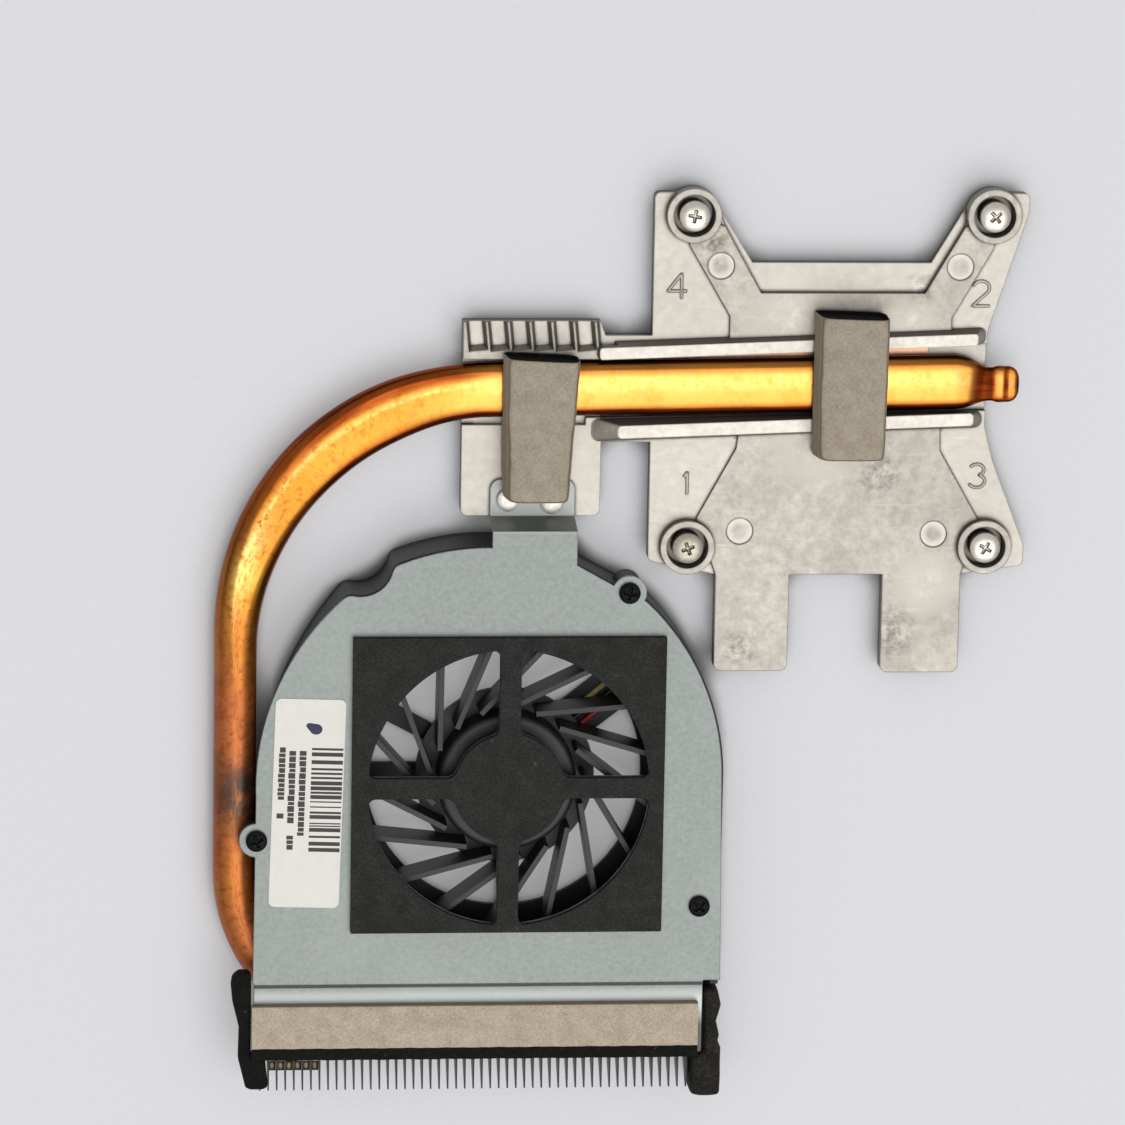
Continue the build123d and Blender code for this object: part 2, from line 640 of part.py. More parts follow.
for i in range(4):
    turned = Rot(0, 0, 45 + 90 * i)
    stator += turned * box(3.0, POLE_R - 0.4, -0.8, 0.8, CORE_Z0, CORE_Z1)
    stator += turned * (crown & box(3, 7, -2.9, 2.9, CORE_Z0, CORE_Z1))
    coil = box(3.9, 5.3, -1.7, 1.7, CORE_Z0 - 0.9, CORE_Z1 + 0.9)
    coil -= box(3.0, 6.0, -0.8, 0.8, CORE_Z0, CORE_Z1)
    coils.append((fan_frame * turned * coil).solid())
stator -= cyl(0, 0, POST_R, 0, 7)
save("stator_core", fan_frame * stator)
save("stator_coils", Compound(children=coils))
board = cyl(0, 0, 9.6, FLOOR, FLOOR + 0.6) - cyl(0, 0, POST_R, 0, 7)
save("motor_board", fan_frame * board)
leads = []
for side in (-1.3, 0, 1.3):
    lead = Pos(9.8, side, FLOOR + LEAD_R) * Rot(0, 90, 0)
    lead = lead * Cylinder(LEAD_R, 22.9, align=(Align.CENTER, Align.CENTER, Align.MIN))
    leads.append((lead_frame * lead).solid())
save("motor_leads", Compound(children=leads))

# Fin stack: thin fins, notched from below for the pipe, lower outlet corner cut away
NOTCH_TOP = PIPE_ROUND_Z + PIPE_ROUND_H / 2
NOTCH_GAP = 0.3
R_OUT = PIPE_TURN_R + PIPE_ROUND_W / 2 + NOTCH_GAP
R_IN = PIPE_TURN_R - PIPE_ROUND_W / 2 - NOTCH_GAP
CUT_Y = FIN_SOUTH + FIN_TOP - FIN_NOSE - FIN_BOTTOM
fins = []
for i in range(FIN_COUNT):
    x = FIN_X0 + i * FIN_PITCH
    reach = max(turn_centre[0] - x, 0)
    east = max(reach - FIN_PITCH / 2, 0)
    notch_s = PIPE_TURN_Y - math.sqrt(R_OUT**2 - east**2)
    notch_n = PIPE_TURN_Y - math.sqrt(max(R_IN**2 - (reach + FIN_PITCH / 2) ** 2, 0) if reach else R_IN**2)
    fin = side_profile(
        [
            (FIN_NORTH, FIN_TOP),
            (FIN_SOUTH, FIN_TOP),
            (FIN_SOUTH, FIN_TOP - FIN_NOSE),
            (CUT_Y, FIN_BOTTOM),
            (FIN_NORTH, FIN_BOTTOM),
        ],
        x,
        x + FIN_T,
    )
    fin -= box(x - 1, x + 1, notch_s, notch_n, FIN_BOTTOM - 1, NOTCH_TOP)
    if 1 <= i <= 6:
        fin += box(x, x + FIN_PITCH - 0.1, FIN_SOUTH + 3.0, FIN_SOUTH + 4.4, FIN_TOP - 0.9, FIN_TOP - 0.6)
    fins += fin.solids()
save("fin_stack", Compound(children=fins))

# Outlet gasket: foam on the lip with a fabric face
GASKET_N = OUTLET_Y - 2.5
GASKET_S = LIP_S - 0.4
GASKET_W = COVER_WEST + 0.2
GASKET_E = LIP_E - 0.8
foam = box(GASKET_W, GASKET_E, GASKET_S, GASKET_N, LIP_TOP, LIP_TOP + GASKET_T)
save("outlet_gasket_foam", foam)
fabric = box(GASKET_W, GASKET_E, GASKET_S + 1.5, GASKET_N, LIP_TOP + GASKET_T, LIP_TOP + GASKET_T + 0.25)
save("outlet_gasket_fabric", fabric)

# End foams beside the fins
FOAM_E = COVER_WEST - 0.1
FOAM_S = FIN_SOUTH + 1.0
left_end = outline(
    (FOAM_E - 2.9, OUTLET_Y + 1.9),
    (FOAM_E, OUTLET_Y + 1.9),
    (FOAM_E, FOAM_S),
    (FOAM_E - 1.8, FOAM_S),
    ((FOAM_E - 2.8, FOAM_S + 2.8), (FOAM_E - 2.0, FOAM_S + 5.8)),
    ((FOAM_E - 3.1, OUTLET_Y - 6.4), (FOAM_E - 2.1, OUTLET_Y - 3.2)),
    ((FOAM_E - 3.3, OUTLET_Y - 0.6), (FOAM_E - 2.9, OUTLET_Y + 1.9)),
)
end_foam = prism(left_end, NOTCH_TOP + 0.6, COVER_TOP + 0.6)
end_foam += box(FOAM_E - 0.5, FOAM_E + 2.8, FOAM_S, GASKET_S - 0.2, FIN_TOP, COVER_TOP + 0.6)
save("left_end_foam", end_foam)
right_end = outline(
    (LIP_E + 0.1, OUTLET_Y - 0.9),
    (FAN_EAST + 0.2, OUTLET_Y - 0.9),
    ((FAN_EAST + 0.8, OUTLET_Y - 3.4), (FAN_EAST, OUTLET_Y - 6.0)),
    ((FAN_EAST + 0.6, OUTLET_Y - 8.2), (FAN_EAST + 0.2, OUTLET_Y - 9.8)),
    (FAN_EAST + 0.9, OUTLET_Y - 10.2),
    (FAN_EAST + 0.9, FIN_SOUTH - 1.3),
    (FAN_EAST - 4.1, FIN_SOUTH - 1.3),
    (FAN_EAST - 4.1, GASKET_S - 0.2),
    (LIP_E + 0.1, GASKET_S - 0.2),
)
save("right_end_foam", prism(right_end, 3.0, COVER_TOP + 0.4))

# Paper label on the cover
LABEL_X = (COVER_WEST + PAD_X0) / 2 + 0.7
LABEL_W = PAD_X0 - COVER_WEST - 4.0
label = Pos(LABEL_X, -63.3) * Rot(0, 0, -1.6) * RectangleRounded(LABEL_W, 32.2, 0.9)
save("label", prism(label, COVER_TOP, COVER_TOP + 0.12))
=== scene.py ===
# %% [markdown]
# # A laptop cooler, dressed for its picture
# The object is a laptop's cooler: a die-cast plate that presses on the processor, a flattened
# copper heat pipe, and a flat fan that blows through a row of fins. The solids give every size.
# This file adds what the eye judges: finishes, soft foam, thread, springs and small castings.

import math

import bmesh
import bpy
import numpy as np
from mathutils import Matrix


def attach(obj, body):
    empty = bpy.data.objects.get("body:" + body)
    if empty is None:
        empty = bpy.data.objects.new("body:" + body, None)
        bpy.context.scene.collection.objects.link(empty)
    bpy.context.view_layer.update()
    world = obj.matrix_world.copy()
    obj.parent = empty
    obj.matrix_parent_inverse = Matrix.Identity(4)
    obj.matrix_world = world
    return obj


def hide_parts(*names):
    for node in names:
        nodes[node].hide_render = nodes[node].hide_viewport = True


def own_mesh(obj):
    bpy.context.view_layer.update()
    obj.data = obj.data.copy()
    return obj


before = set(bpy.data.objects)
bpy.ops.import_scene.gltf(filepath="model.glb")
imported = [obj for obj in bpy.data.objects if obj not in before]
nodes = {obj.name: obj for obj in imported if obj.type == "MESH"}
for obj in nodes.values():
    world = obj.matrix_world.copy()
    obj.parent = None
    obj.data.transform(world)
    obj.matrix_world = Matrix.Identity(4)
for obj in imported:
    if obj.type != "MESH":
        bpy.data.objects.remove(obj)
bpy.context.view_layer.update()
MM = 0.001

# %% [markdown]
# Colours are written as the hex values that a colour picker shows. A shader works with linear
# light, so one function undoes the display curve. A second small function adds a shader node:
# a socket that is given another node's output is linked, and any other value is set on it. It hands
# back an output of the new node, so that one line can feed the next. A colour is often laid over
# another by a share from 0 to 1, like a coat of paint; a list of such coats is mixed in a loop.


# %% Colour and node helpers
def hex_linear(code):
    """sRGB hex to linear red, green, blue and alpha, by the sRGB curve with its straight foot."""
    srgb = np.array([int(code[k : k + 2], 16) / 255 for k in (1, 3, 5)])
    linear = np.where(srgb <= 0.04045, srgb / 12.92, ((srgb + 0.055) / 1.055) ** 2.4)
    return (*linear.tolist(), 1.0)


def add(tree, kind, sockets=None, out=0, **settings):
    """One shader node with its settings; linked where a socket gets another node's output.
    Returns the node's first output, or the one that out names."""
    node = tree.nodes.new("ShaderNode" + kind)
    for key, value in settings.items():
        setattr(node, key, value)
    for key, value in (sockets or {}).items():
        if isinstance(value, bpy.types.NodeSocket):
            tree.links.new(value, node.inputs[key])
        else:
            node.inputs[key].default_value = value
    return node.outputs[out] if len(node.outputs) else None


def start(name):
    """An empty material and its node tree."""
    material = bpy.data.materials.new(name)
    material.use_nodes = True
    material.node_tree.nodes.clear()
    return material, material.node_tree


def per_mm(size):
    """Texture scale that makes one feature as wide as a size in mm."""
    return 1 / (size * MM)


def paint(material, *names):
    """Gives solids their finish."""
    for name in names:
        nodes[name].data.materials.clear()
        nodes[name].data.materials.append(material)
    print("painted", material.name, "on", ", ".join(names))


print("middle grey as linear light:", round(hex_linear("#808080")[0], 3))

# %% [markdown]
# The plate is die-cast aluminium, tumbled after casting. The eye sees a warm pale grey with a
# fine grit and mottle. Low pads keep the bright skin of the mould. Handling left dark smudges,
# burnished patches and fine scratches. Noise makes the mottle, and the distance from a few places,
# broken up by that noise, makes the stains.

# %% Die-cast aluminium: mottle, stains and scratches
SMUDGES = [(6.7, -14.2, 4.2), (8.9, -38.5, 4.6), (-14.0, -41.0, 3.2), (-19.5, 20.5, 3.6), (12.0, 14.0, 3.0)]
BURNISHED = [(-8.0, 9.5, 8.0), (10.5, 9.0, 5.0), (-45.0, -13.0, 9.0), (-3.0, -9.0, 9.0), (14.0, -31.0, 6.0)]
STAIN_Z = 5.0
SKIN_Z = 4.8
cast, tree = start("die_cast_aluminium")
place = add(tree, "TexCoord", out="Object")
spot = add(tree, "SeparateXYZ", {"Vector": place}).node.outputs
mottle = add(tree, "TexNoise", {"Vector": place, "Scale": per_mm(1.5), "Detail": 6.0, "Roughness": 0.7})
smear = add(tree, "TexNoise", {"Vector": place, "Scale": per_mm(15.0), "Detail": 4.0, "Distortion": 0.6})
clear = add(tree, "MapRange", {"Value": mottle, "From Min": 0.32, "From Max": 0.68})
tone = add(tree, "Mix", {0: clear, 6: hex_linear("#ABA59C"), 7: hex_linear("#C4BEB4")}, 2, data_type="RGBA")
dull = add(tree, "MapRange", {"Value": smear, "From Min": 0.45, "From Max": 0.7, "To Max": 0.35})
skin = {"Value": spot["Z"], "From Min": (SKIN_Z + 0.1) * MM, "From Max": SKIN_Z * MM, "To Max": 0.55}
coats = [(dull, "#8A847B"), (add(tree, "MapRange", skin), "#D3CDC3")]
broken = add(tree, "MapRange", {"Value": mottle, "From Min": 0.6, "From Max": 0.35, "To Max": 0.9})
for patches, colour in [(BURNISHED, "#DDD8CE"), (SMUDGES, "#5C564D")]:
    for x, y, r in patches:
        middle = (x * MM, y * MM, STAIN_Z * MM)
        away = add(tree, "VectorMath", {0: place, 1: middle}, "Value", operation="DISTANCE")
        stain = add(tree, "MapRange", {"Value": away, "From Min": r * MM, "From Max": 0.0})
        stain = add(tree, "Math", {0: stain, 1: broken}, operation="MULTIPLY")
        coats.append((stain, colour))
pull = add(tree, "Mapping", {"Vector": place, "Rotation": (0.0, 0.0, 0.6), "Scale": (0.06, 1.0, 1.0)})
lines = add(tree, "TexNoise", {"Vector": pull, "Scale": per_mm(0.9), "Detail": 4.0, "Roughness": 0.75})
scratch = add(tree, "MapRange", {"Value": lines, "From Min": 0.6, "From Max": 0.72, "To Max": 0.45})
coats.append((scratch, "#DAD5CB"))
print("coats on the casting:", len(coats))

# %% [markdown]
# Four pins pushed the casting out of its mould and left round marks with a light rim: partly the
# marks' own finish, partly a painted highlight on the recess edge. The rail tops are painted brighter
# as a painted highlight, drafted walls get painted shade, and dark lines of painted shade lie where a
# wall meets a floor. The height above the floor finds the tops, the surface's own direction finds the
# walls, and an occlusion reading finds the corners. One wall on the tab gets less painted shade.

# %% Die-cast aluminium: pin marks and painted highlight on the rail tops
PIN_MARKS = [(-18.3, 17.5), (17.8, 17.4), (-14.6, -22.9), (14.9, -23.4)]
PIN_Z = 4.95
PIN_R = 2.0
RAIL_TOP = 6.58
# Pin marks: a light ring, partly the mark's own finish and partly a painted highlight on the recess edge.
pin_mark_and_highlight = 0.0
for x, y in PIN_MARKS:
    middle = (x * MM, y * MM, PIN_Z * MM)
    away = add(tree, "VectorMath", {0: place, 1: middle}, "Value", operation="DISTANCE")
    disc = add(tree, "MapRange", {"Value": away, "From Min": PIN_R * MM, "From Max": 1.75 * MM})
    worn = add(tree, "MapRange", {"Value": away, "From Min": 1.8 * MM, "From Max": 0.8 * MM, "To Max": -1.0})
    rim = add(tree, "Math", {0: disc, 1: worn}, operation="ADD")
    pin_mark_and_highlight = add(tree, "Math", {0: rim, 1: pin_mark_and_highlight}, operation="MAXIMUM")
for share, colour in coats + [(pin_mark_and_highlight, "#D4CEC5")]:
    tone = add(tree, "Mix", {0: share, 6: tone, 7: hex_linear(colour)}, 2, data_type="RGBA")
# Painted highlight: the faces at the rail tops are painted brighter.
lit_rail_top = {"Value": spot["Z"], "From Min": (RAIL_TOP - 0.08) * MM, "From Max": RAIL_TOP * MM}
lit_rail_top = add(tree, "MapRange", lit_rail_top)
top = add(tree, "Mix", {0: clear, 6: hex_linear("#CEC8BD"), 7: hex_linear("#E2DCD2")}, 2, data_type="RGBA")
tone = add(tree, "Mix", {0: lit_rail_top, 6: tone, 7: top}, 2, data_type="RGBA")
print("pin marks:", len(PIN_MARKS))

# %% Die-cast aluminium: painted shade on walls and in corners
# Painted shade: sideways walls darken, low walls near the channel floor go near black as a painted
LESS_SHADE_X, LESS_SHADE_Y = (-45.5, 9.5), (-6.2, 1.9)
# contact shadow, and corners found by occlusion darken; a box on the tab gets less of it.
CHANNEL_FLOOR = 3.6
west = add(tree, "Math", {0: spot["X"], 1: LESS_SHADE_X[0] * MM, 2: LESS_SHADE_X[1] * MM}, operation="COMPARE")
tab = add(tree, "Math", {0: spot["Y"], 1: LESS_SHADE_Y[0] * MM, 2: LESS_SHADE_Y[1] * MM}, operation="COMPARE")
less_shade = add(tree, "Math", {0: west, 1: tab}, operation="MULTIPLY")
shade_strength = add(tree, "MapRange", {"Value": less_shade, "To Min": 0.85, "To Max": 0.2})
upward = add(tree, "SeparateXYZ", {"Vector": place.node.outputs["Normal"]}, "Z")
wall_shade = add(tree, "MapRange", {"Value": upward, "From Min": 0.85, "From Max": 0.4, "To Max": shade_strength})
foot = {"Value": spot["Z"], "From Min": (CHANNEL_FLOOR + 0.8) * MM, "From Max": CHANNEL_FLOOR * MM}
foot = add(tree, "Math", {0: add(tree, "MapRange", foot), 1: wall_shade}, operation="MULTIPLY")
hollow = add(tree, "AmbientOcclusion", {"Distance": 0.75 * MM}, "AO", samples=10)
hollow_shade = add(tree, "MapRange", {"Value": hollow, "From Min": 0.9, "From Max": 0.55, "To Max": shade_strength})
# Colours of the painted shade on walls, low walls and corners.
for share, colour in [(wall_shade, "#6E6A63"), (foot, "#2B2926"), (hollow_shade, "#3E3A34")]:
    tone = add(tree, "Mix", {0: share, 6: tone, 7: hex_linear(colour)}, 2, data_type="RGBA")
gloss = add(tree, "MapRange", {"Value": mottle, "To Min": 0.54, "To Max": 0.42})
grit = add(tree, "TexNoise", {"Vector": place, "Scale": per_mm(0.4), "Detail": 3.0, "Roughness": 0.7})
soft_edge = add(tree, "Bevel", {"Radius": 0.3 * MM}, samples=6)
bumps = add(tree, "Bump", {"Strength": 0.35, "Distance": 0.05 * MM, "Height": grit, "Normal": soft_edge})
surface = {"Base Color": tone, "Metallic": 0.75, "Roughness": gloss, "Normal": bumps}
add(tree, "OutputMaterial", {"Surface": add(tree, "BsdfPrincipled", surface)})
paint(cast, "cast_plate")

# %% [markdown]
# The fan's cover is pressed from zinc-coated steel sheet. Zinc is a cool blue-green grey with a
# soft sheen, a fine speckle and a few bright flecks. It is lighter on the flange. The folded lip is
# painted lighter towards the gasket, painted light that lifts the gasket's shadow on it, and the cover
# is darker east of the lip's end.

# %% Zinc-coated steel
LIP_Y = -92.4
LIP_END_X = -20.0
FLANGE_Y = -21.4
zinc, tree = start("zinc_coated_steel")
place = add(tree, "TexCoord", out="Object")
spot = add(tree, "SeparateXYZ", {"Vector": place}).node.outputs
speckle = add(tree, "TexNoise", {"Vector": place, "Scale": per_mm(0.7), "Detail": 4.0, "Roughness": 0.7})
fine = add(tree, "MapRange", {"Value": speckle, "From Min": 0.3, "From Max": 0.7})
tone = add(tree, "Mix", {0: fine, 6: hex_linear("#848986"), 7: hex_linear("#949995")}, 2, data_type="RGBA")
patch = add(tree, "TexNoise", {"Vector": place, "Scale": per_mm(18.0), "Detail": 2.0})
patch = add(tree, "MapRange", {"Value": patch, "From Min": 0.45, "From Max": 0.75, "To Max": 0.4})
# Painted light: the lip is lightened towards the gasket, where the gasket's shadow falls.
lit_lip = {"Value": spot["Y"], "From Min": LIP_Y * MM, "From Max": (LIP_Y - 1.8) * MM, "To Max": 0.9}
lit_lip = add(tree, "MapRange", lit_lip)
# Darker east of LIP_END_X, south of the lip; lighter on the flange.
lip_end = {"Value": spot["X"], "From Min": (LIP_END_X - 0.3) * MM, "From Max": LIP_END_X * MM}
darker_east_end = {"Value": spot["Y"], "From Min": (LIP_Y - 3.1) * MM, "From Max": (LIP_Y - 6.1) * MM, "To Max": 0.85}
darker_east_end = {0: add(tree, "MapRange", darker_east_end), 1: add(tree, "MapRange", lip_end)}
darker_east_end = add(tree, "Math", darker_east_end, operation="MULTIPLY")
flange = {"Value": spot["Y"], "From Min": (FLANGE_Y - 0.8) * MM, "From Max": FLANGE_Y * MM, "To Max": 0.6}
flange = add(tree, "MapRange", flange)
chips = add(tree, "TexNoise", {"Vector": place, "Scale": per_mm(1.9), "Detail": 5.0, "Roughness": 0.8})
fleck = add(tree, "MapRange", {"Value": chips, "From Min": 0.66, "From Max": 0.74, "To Max": 0.6})
coats = [(patch, "#9FA4A0"), (lit_lip, "#C8CDCA"), (darker_east_end, "#3F3A33"), (flange, "#B9BDBA"), (fleck, "#C3C8C3")]
for share, colour in coats:
    tone = add(tree, "Mix", {0: share, 6: tone, 7: hex_linear(colour)}, 2, data_type="RGBA")
soft_edge = add(tree, "Bevel", {"Radius": 0.22 * MM}, samples=6)
bumps = add(tree, "Bump", {"Strength": 0.12, "Distance": 0.03 * MM, "Height": speckle, "Normal": soft_edge})
surface = {"Base Color": tone, "Metallic": 0.8, "Roughness": 0.48, "Normal": bumps}
add(tree, "OutputMaterial", {"Surface": add(tree, "BsdfPrincipled", surface)})
paint(zinc, "fan_cover")

# %% [markdown]
# The outlet fins are aluminium foil, seen on edge and painted near black, as painted shade where the
# fins stand in each other's shade. The first six carry small bent tabs that have browned; each is
# painted black beside its fins as painted shade and pale in its middle as a painted highlight. A
# triangle wave as long as the fins' pitch tells how far a point is from its fin.

# %% Aluminium fin foil
FIN_WEST, FIN_PITCH = -86.6, 1.3
TAB_BOX = [("X", -82.4, 4.9), ("Y", -104.7, 0.8), ("Z", 9.15, 0.17)]
TAB_Y = -104.65
foil, tree = start("aluminium_fin_foil")
place = add(tree, "TexCoord", out="Object")
spot = add(tree, "SeparateXYZ", {"Vector": place}).node.outputs
smudge = add(tree, "TexNoise", {"Vector": place, "Scale": per_mm(0.7), "Detail": 4.0})
# Painted shade: the foil gets a near-black tone because the fins shade each other.
tone = add(tree, "Mix", {0: smudge, 6: hex_linear("#232427"), 7: hex_linear("#404144")}, 2, data_type="RGBA")
browned = 1.0
for axis, middle, half in TAB_BOX:
    near = add(tree, "Math", {0: spot[axis], 1: middle * MM, 2: half * MM}, operation="COMPARE")
    browned = add(tree, "Math", {0: near, 1: browned}, operation="MULTIPLY")
# Painted shade and highlight on the tabs: black beside each fin, pale between fins along TAB_Y.
from_fin = add(tree, "Math", {0: spot["X"], 1: -FIN_WEST * MM}, operation="ADD")
from_fin = add(tree, "Math", {0: from_fin, 1: FIN_PITCH / 2 * MM}, operation="PINGPONG")
tab_highlight = add(tree, "MapRange", {"Value": from_fin, "From Min": 0.25 * MM, "From Max": 0.6 * MM})
tab_highlight = add(tree, "Math", {0: tab_highlight, 1: smudge}, operation="MULTIPLY")
off_line = add(tree, "Math", {0: spot["Y"], 1: -TAB_Y * MM}, operation="ADD")
off_line = add(tree, "Math", {0: off_line}, operation="ABSOLUTE")
highlight_band = add(tree, "MapRange", {"Value": off_line, "From Min": 0.65 * MM, "From Max": 0.2 * MM})
tab_highlight = add(tree, "Math", {0: tab_highlight, 1: highlight_band}, operation="MULTIPLY")
tab_tone_and_shade = add(tree, "Mix", {0: tab_highlight, 6: hex_linear("#0A0705"), 7: hex_linear("#A58C69")}, 2, data_type="RGBA")
tone = add(tree, "Mix", {0: browned, 6: tone, 7: tab_tone_and_shade}, 2, data_type="RGBA")
gloss = add(tree, "MapRange", {"Value": smudge, "To Min": 0.36, "To Max": 0.5})
surface = {"Base Color": tone, "Metallic": 0.9, "Roughness": gloss}
add(tree, "OutputMaterial", {"Surface": add(tree, "BsdfPrincipled", surface)})
paint(foil, "fin_stack")

# %% [markdown]
# Many pieces have a plain finish: moulded plastic, plated steel, wire, paper. None is perfectly
# even. One function makes them all: a fine noise varies tone, gloss and relief, edges are softened
# by a bevel reading, and hollows can get painted shade, which an occlusion reading finds.


# %% Plain finishes, plastics and motor pieces
def finish(name, colour, metallic, roughness, grain=0.6, hollow_shade=None, swing=0.2):
    """Plain finish: its colour falls by the swing where the noise is low, its roughness swings by
    0.07 about the given value, and hollows under half a millimetre wide turn to the hollow_shade
    colour as painted shade."""
    material, tree = start(name)
    place = add(tree, "TexCoord", out="Object")
    noise = add(tree, "TexNoise", {"Vector": place, "Scale": per_mm(grain), "Detail": 4.0, "Roughness": 0.65})
    full = hex_linear(colour)
    low = tuple((1 - swing) * c for c in full[:3]) + (1.0,)
    share = add(tree, "MapRange", {"Value": noise, "From Min": 0.3, "From Max": 0.6})
    tone = add(tree, "Mix", {0: share, 6: low, 7: full}, 2, data_type="RGBA")
    if hollow_shade:
        # Painted shade in hollows found by occlusion.
        hollow = add(tree, "AmbientOcclusion", {"Distance": 0.5 * MM}, "AO", samples=8)
        shaded_hollow = add(tree, "MapRange", {"Value": hollow, "From Min": 0.85, "From Max": 0.45})
        tone = add(tree, "Mix", {0: shaded_hollow, 6: tone, 7: hex_linear(hollow_shade)}, 2, data_type="RGBA")
    gloss = {"Value": noise, "To Min": roughness + 0.07, "To Max": roughness - 0.07}
    soft_edge = add(tree, "Bevel", {"Radius": 0.12 * MM}, samples=4)
    relief = {"Strength": 0.12, "Distance": 0.03 * MM, "Height": noise, "Normal": soft_edge}
    surface = {"Base Color": tone, "Metallic": metallic, "Roughness": add(tree, "MapRange", gloss)}
    surface["Normal"] = add(tree, "Bump", relief)
    add(tree, "OutputMaterial", {"Surface": add(tree, "BsdfPrincipled", surface)})
    return material


paint(finish("black_satin_plastic", "#131314", 0.0, 0.52), "fan_housing")
paint(finish("impeller_plastic", "#232324", 0.0, 0.44), "impeller")
paint(finish("rotor_steel", "#8A8A88", 1.0, 0.35), "rotor_yoke", "rotor_shaft", "stator_core")
paint(finish("ferrite_magnet", "#2B2927", 0.0, 0.6), "rotor_magnet")
paint(finish("sintered_bronze", "#8C6A3E", 0.9, 0.5), "bearing_sleeve")
paint(finish("enamelled_copper_wire", "#A8582A", 0.8, 0.35), "stator_coils")
paint(finish("green_circuit_board", "#1F4A33", 0.0, 0.45), "motor_board")
paint(finish("spring_clip_steel", "#9A968E", 1.0, 0.32), *[f"retaining_clip_{n}" for n in (1, 2, 3, 4)])

# %% [markdown]
# The base under the pipe is a milled copper block: pinkish and a little dull beside the pipe.

# %% Milled copper base
base_copper, tree = start("milled_copper")
place = add(tree, "TexCoord", out="Object")
cut = add(tree, "TexNoise", {"Vector": place, "Scale": per_mm(2.0), "Detail": 4.0})
tone = add(tree, "Mix", {0: cut, 6: hex_linear("#B98364"), 7: hex_linear("#DDB498")}, 2, data_type="RGBA")
surface = {"Base Color": tone, "Metallic": 1.0, "Roughness": 0.34}
add(tree, "OutputMaterial", {"Surface": add(tree, "BsdfPrincipled", surface)})
paint(base_copper, "copper_base_plate")

# %% [markdown]
# Foam and cloth. The strips are black polyurethane foam wrapped in a taupe woven tape; the
# gasket at the outlet has a beige one; the pad around the intake is charcoal foam. The tape is so
# fine that the eye sees matt fibres rather than threads: two noises, each stretched along one
# direction of the cloth, cross like warp and weft. Its steep sides get a tone of painted shade by
# their direction, and a dark line of painted shade runs along the fold between top and side.


# %% Woven tape
def woven(name, dark, light, steep, edge):
    """Matt cloth: the sum of two stretched noises on the piece's UV lengths and of a broad one picks
    the tone, and a noise above 0.66 leaves specks of lint. As painted shade, sides whose direction is
    far from upward mix towards the steep colour, and the folded edge between top and side, where the
    direction's upward part is near 0.62, towards the edge colour."""
    material, tree = start(name)
    lengths = add(tree, "UVMap", uv_map="lengths")
    threads = []
    for stretch in [(0.4, 1.0, 1.0), (1.0, 0.4, 1.0)]:
        lay = add(tree, "Mapping", {"Vector": lengths, "Scale": stretch})
        thread = {"Vector": lay, "Scale": per_mm(0.22), "Detail": 3.0, "Roughness": 0.6}
        threads.append(add(tree, "TexNoise", thread))
    cross = add(tree, "Math", {0: threads[0], 1: threads[1]}, operation="ADD")
    worn = {"Vector": lengths, "Scale": per_mm(2.6), "Detail": 4.0, "Roughness": 0.65}
    both = add(tree, "Math", {0: cross, 1: add(tree, "TexNoise", worn)}, operation="ADD")
    share = add(tree, "MapRange", {"Value": both, "From Min": 1.15, "From Max": 1.85})
    cloth = add(tree, "Mix", {0: share, 6: hex_linear(dark), 7: hex_linear(light)}, 2, data_type="RGBA")
    upward = add(tree, "SeparateXYZ", {"Vector": add(tree, "TexCoord", out="Normal")}, "Z")
    lint = add(tree, "TexNoise", {"Vector": lengths, "Scale": per_mm(1.5), "Detail": 5.0, "Roughness": 0.8})
    lint = add(tree, "MapRange", {"Value": lint, "From Min": 0.66, "From Max": 0.76, "To Max": 0.6})
    # Painted shade: steep sides and the fold line are coloured by their direction.
    side = add(tree, "MapRange", {"Value": upward, "From Min": 0.7, "From Max": 0.3, "To Max": 0.75})
    off_edge = add(tree, "Math", {0: upward, 1: 0.62}, operation="SUBTRACT")
    off_edge = add(tree, "Math", {0: off_edge}, operation="ABSOLUTE")
    painted_crease_shade = add(tree, "MapRange", {"Value": off_edge, "From Min": 0.24, "From Max": 0.04, "To Max": 0.7})
    for share, colour in [(lint, "#D9D0C1"), (side, steep), (painted_crease_shade, edge)]:
        cloth = add(tree, "Mix", {0: share, 6: cloth, 7: hex_linear(colour)}, 2, data_type="RGBA")
    relief = add(tree, "Bump", {"Strength": 0.35, "Distance": 0.05 * MM, "Height": cross})
    surface = {"Base Color": cloth, "Roughness": 0.92, "Specular IOR Level": 0.2, "Normal": relief}
    add(tree, "OutputMaterial", {"Surface": add(tree, "BsdfPrincipled", surface)})
    return material


taupe_tape = woven("taupe_woven_tape", "#998D7B", "#BCB19F", "#A3957F", "#5A4F42")
beige_tape = woven("beige_woven_tape", "#A69883", "#D2C5B0", "#8A7D69", "#8A7D69")
print("tapes:", taupe_tape.name, beige_tape.name)


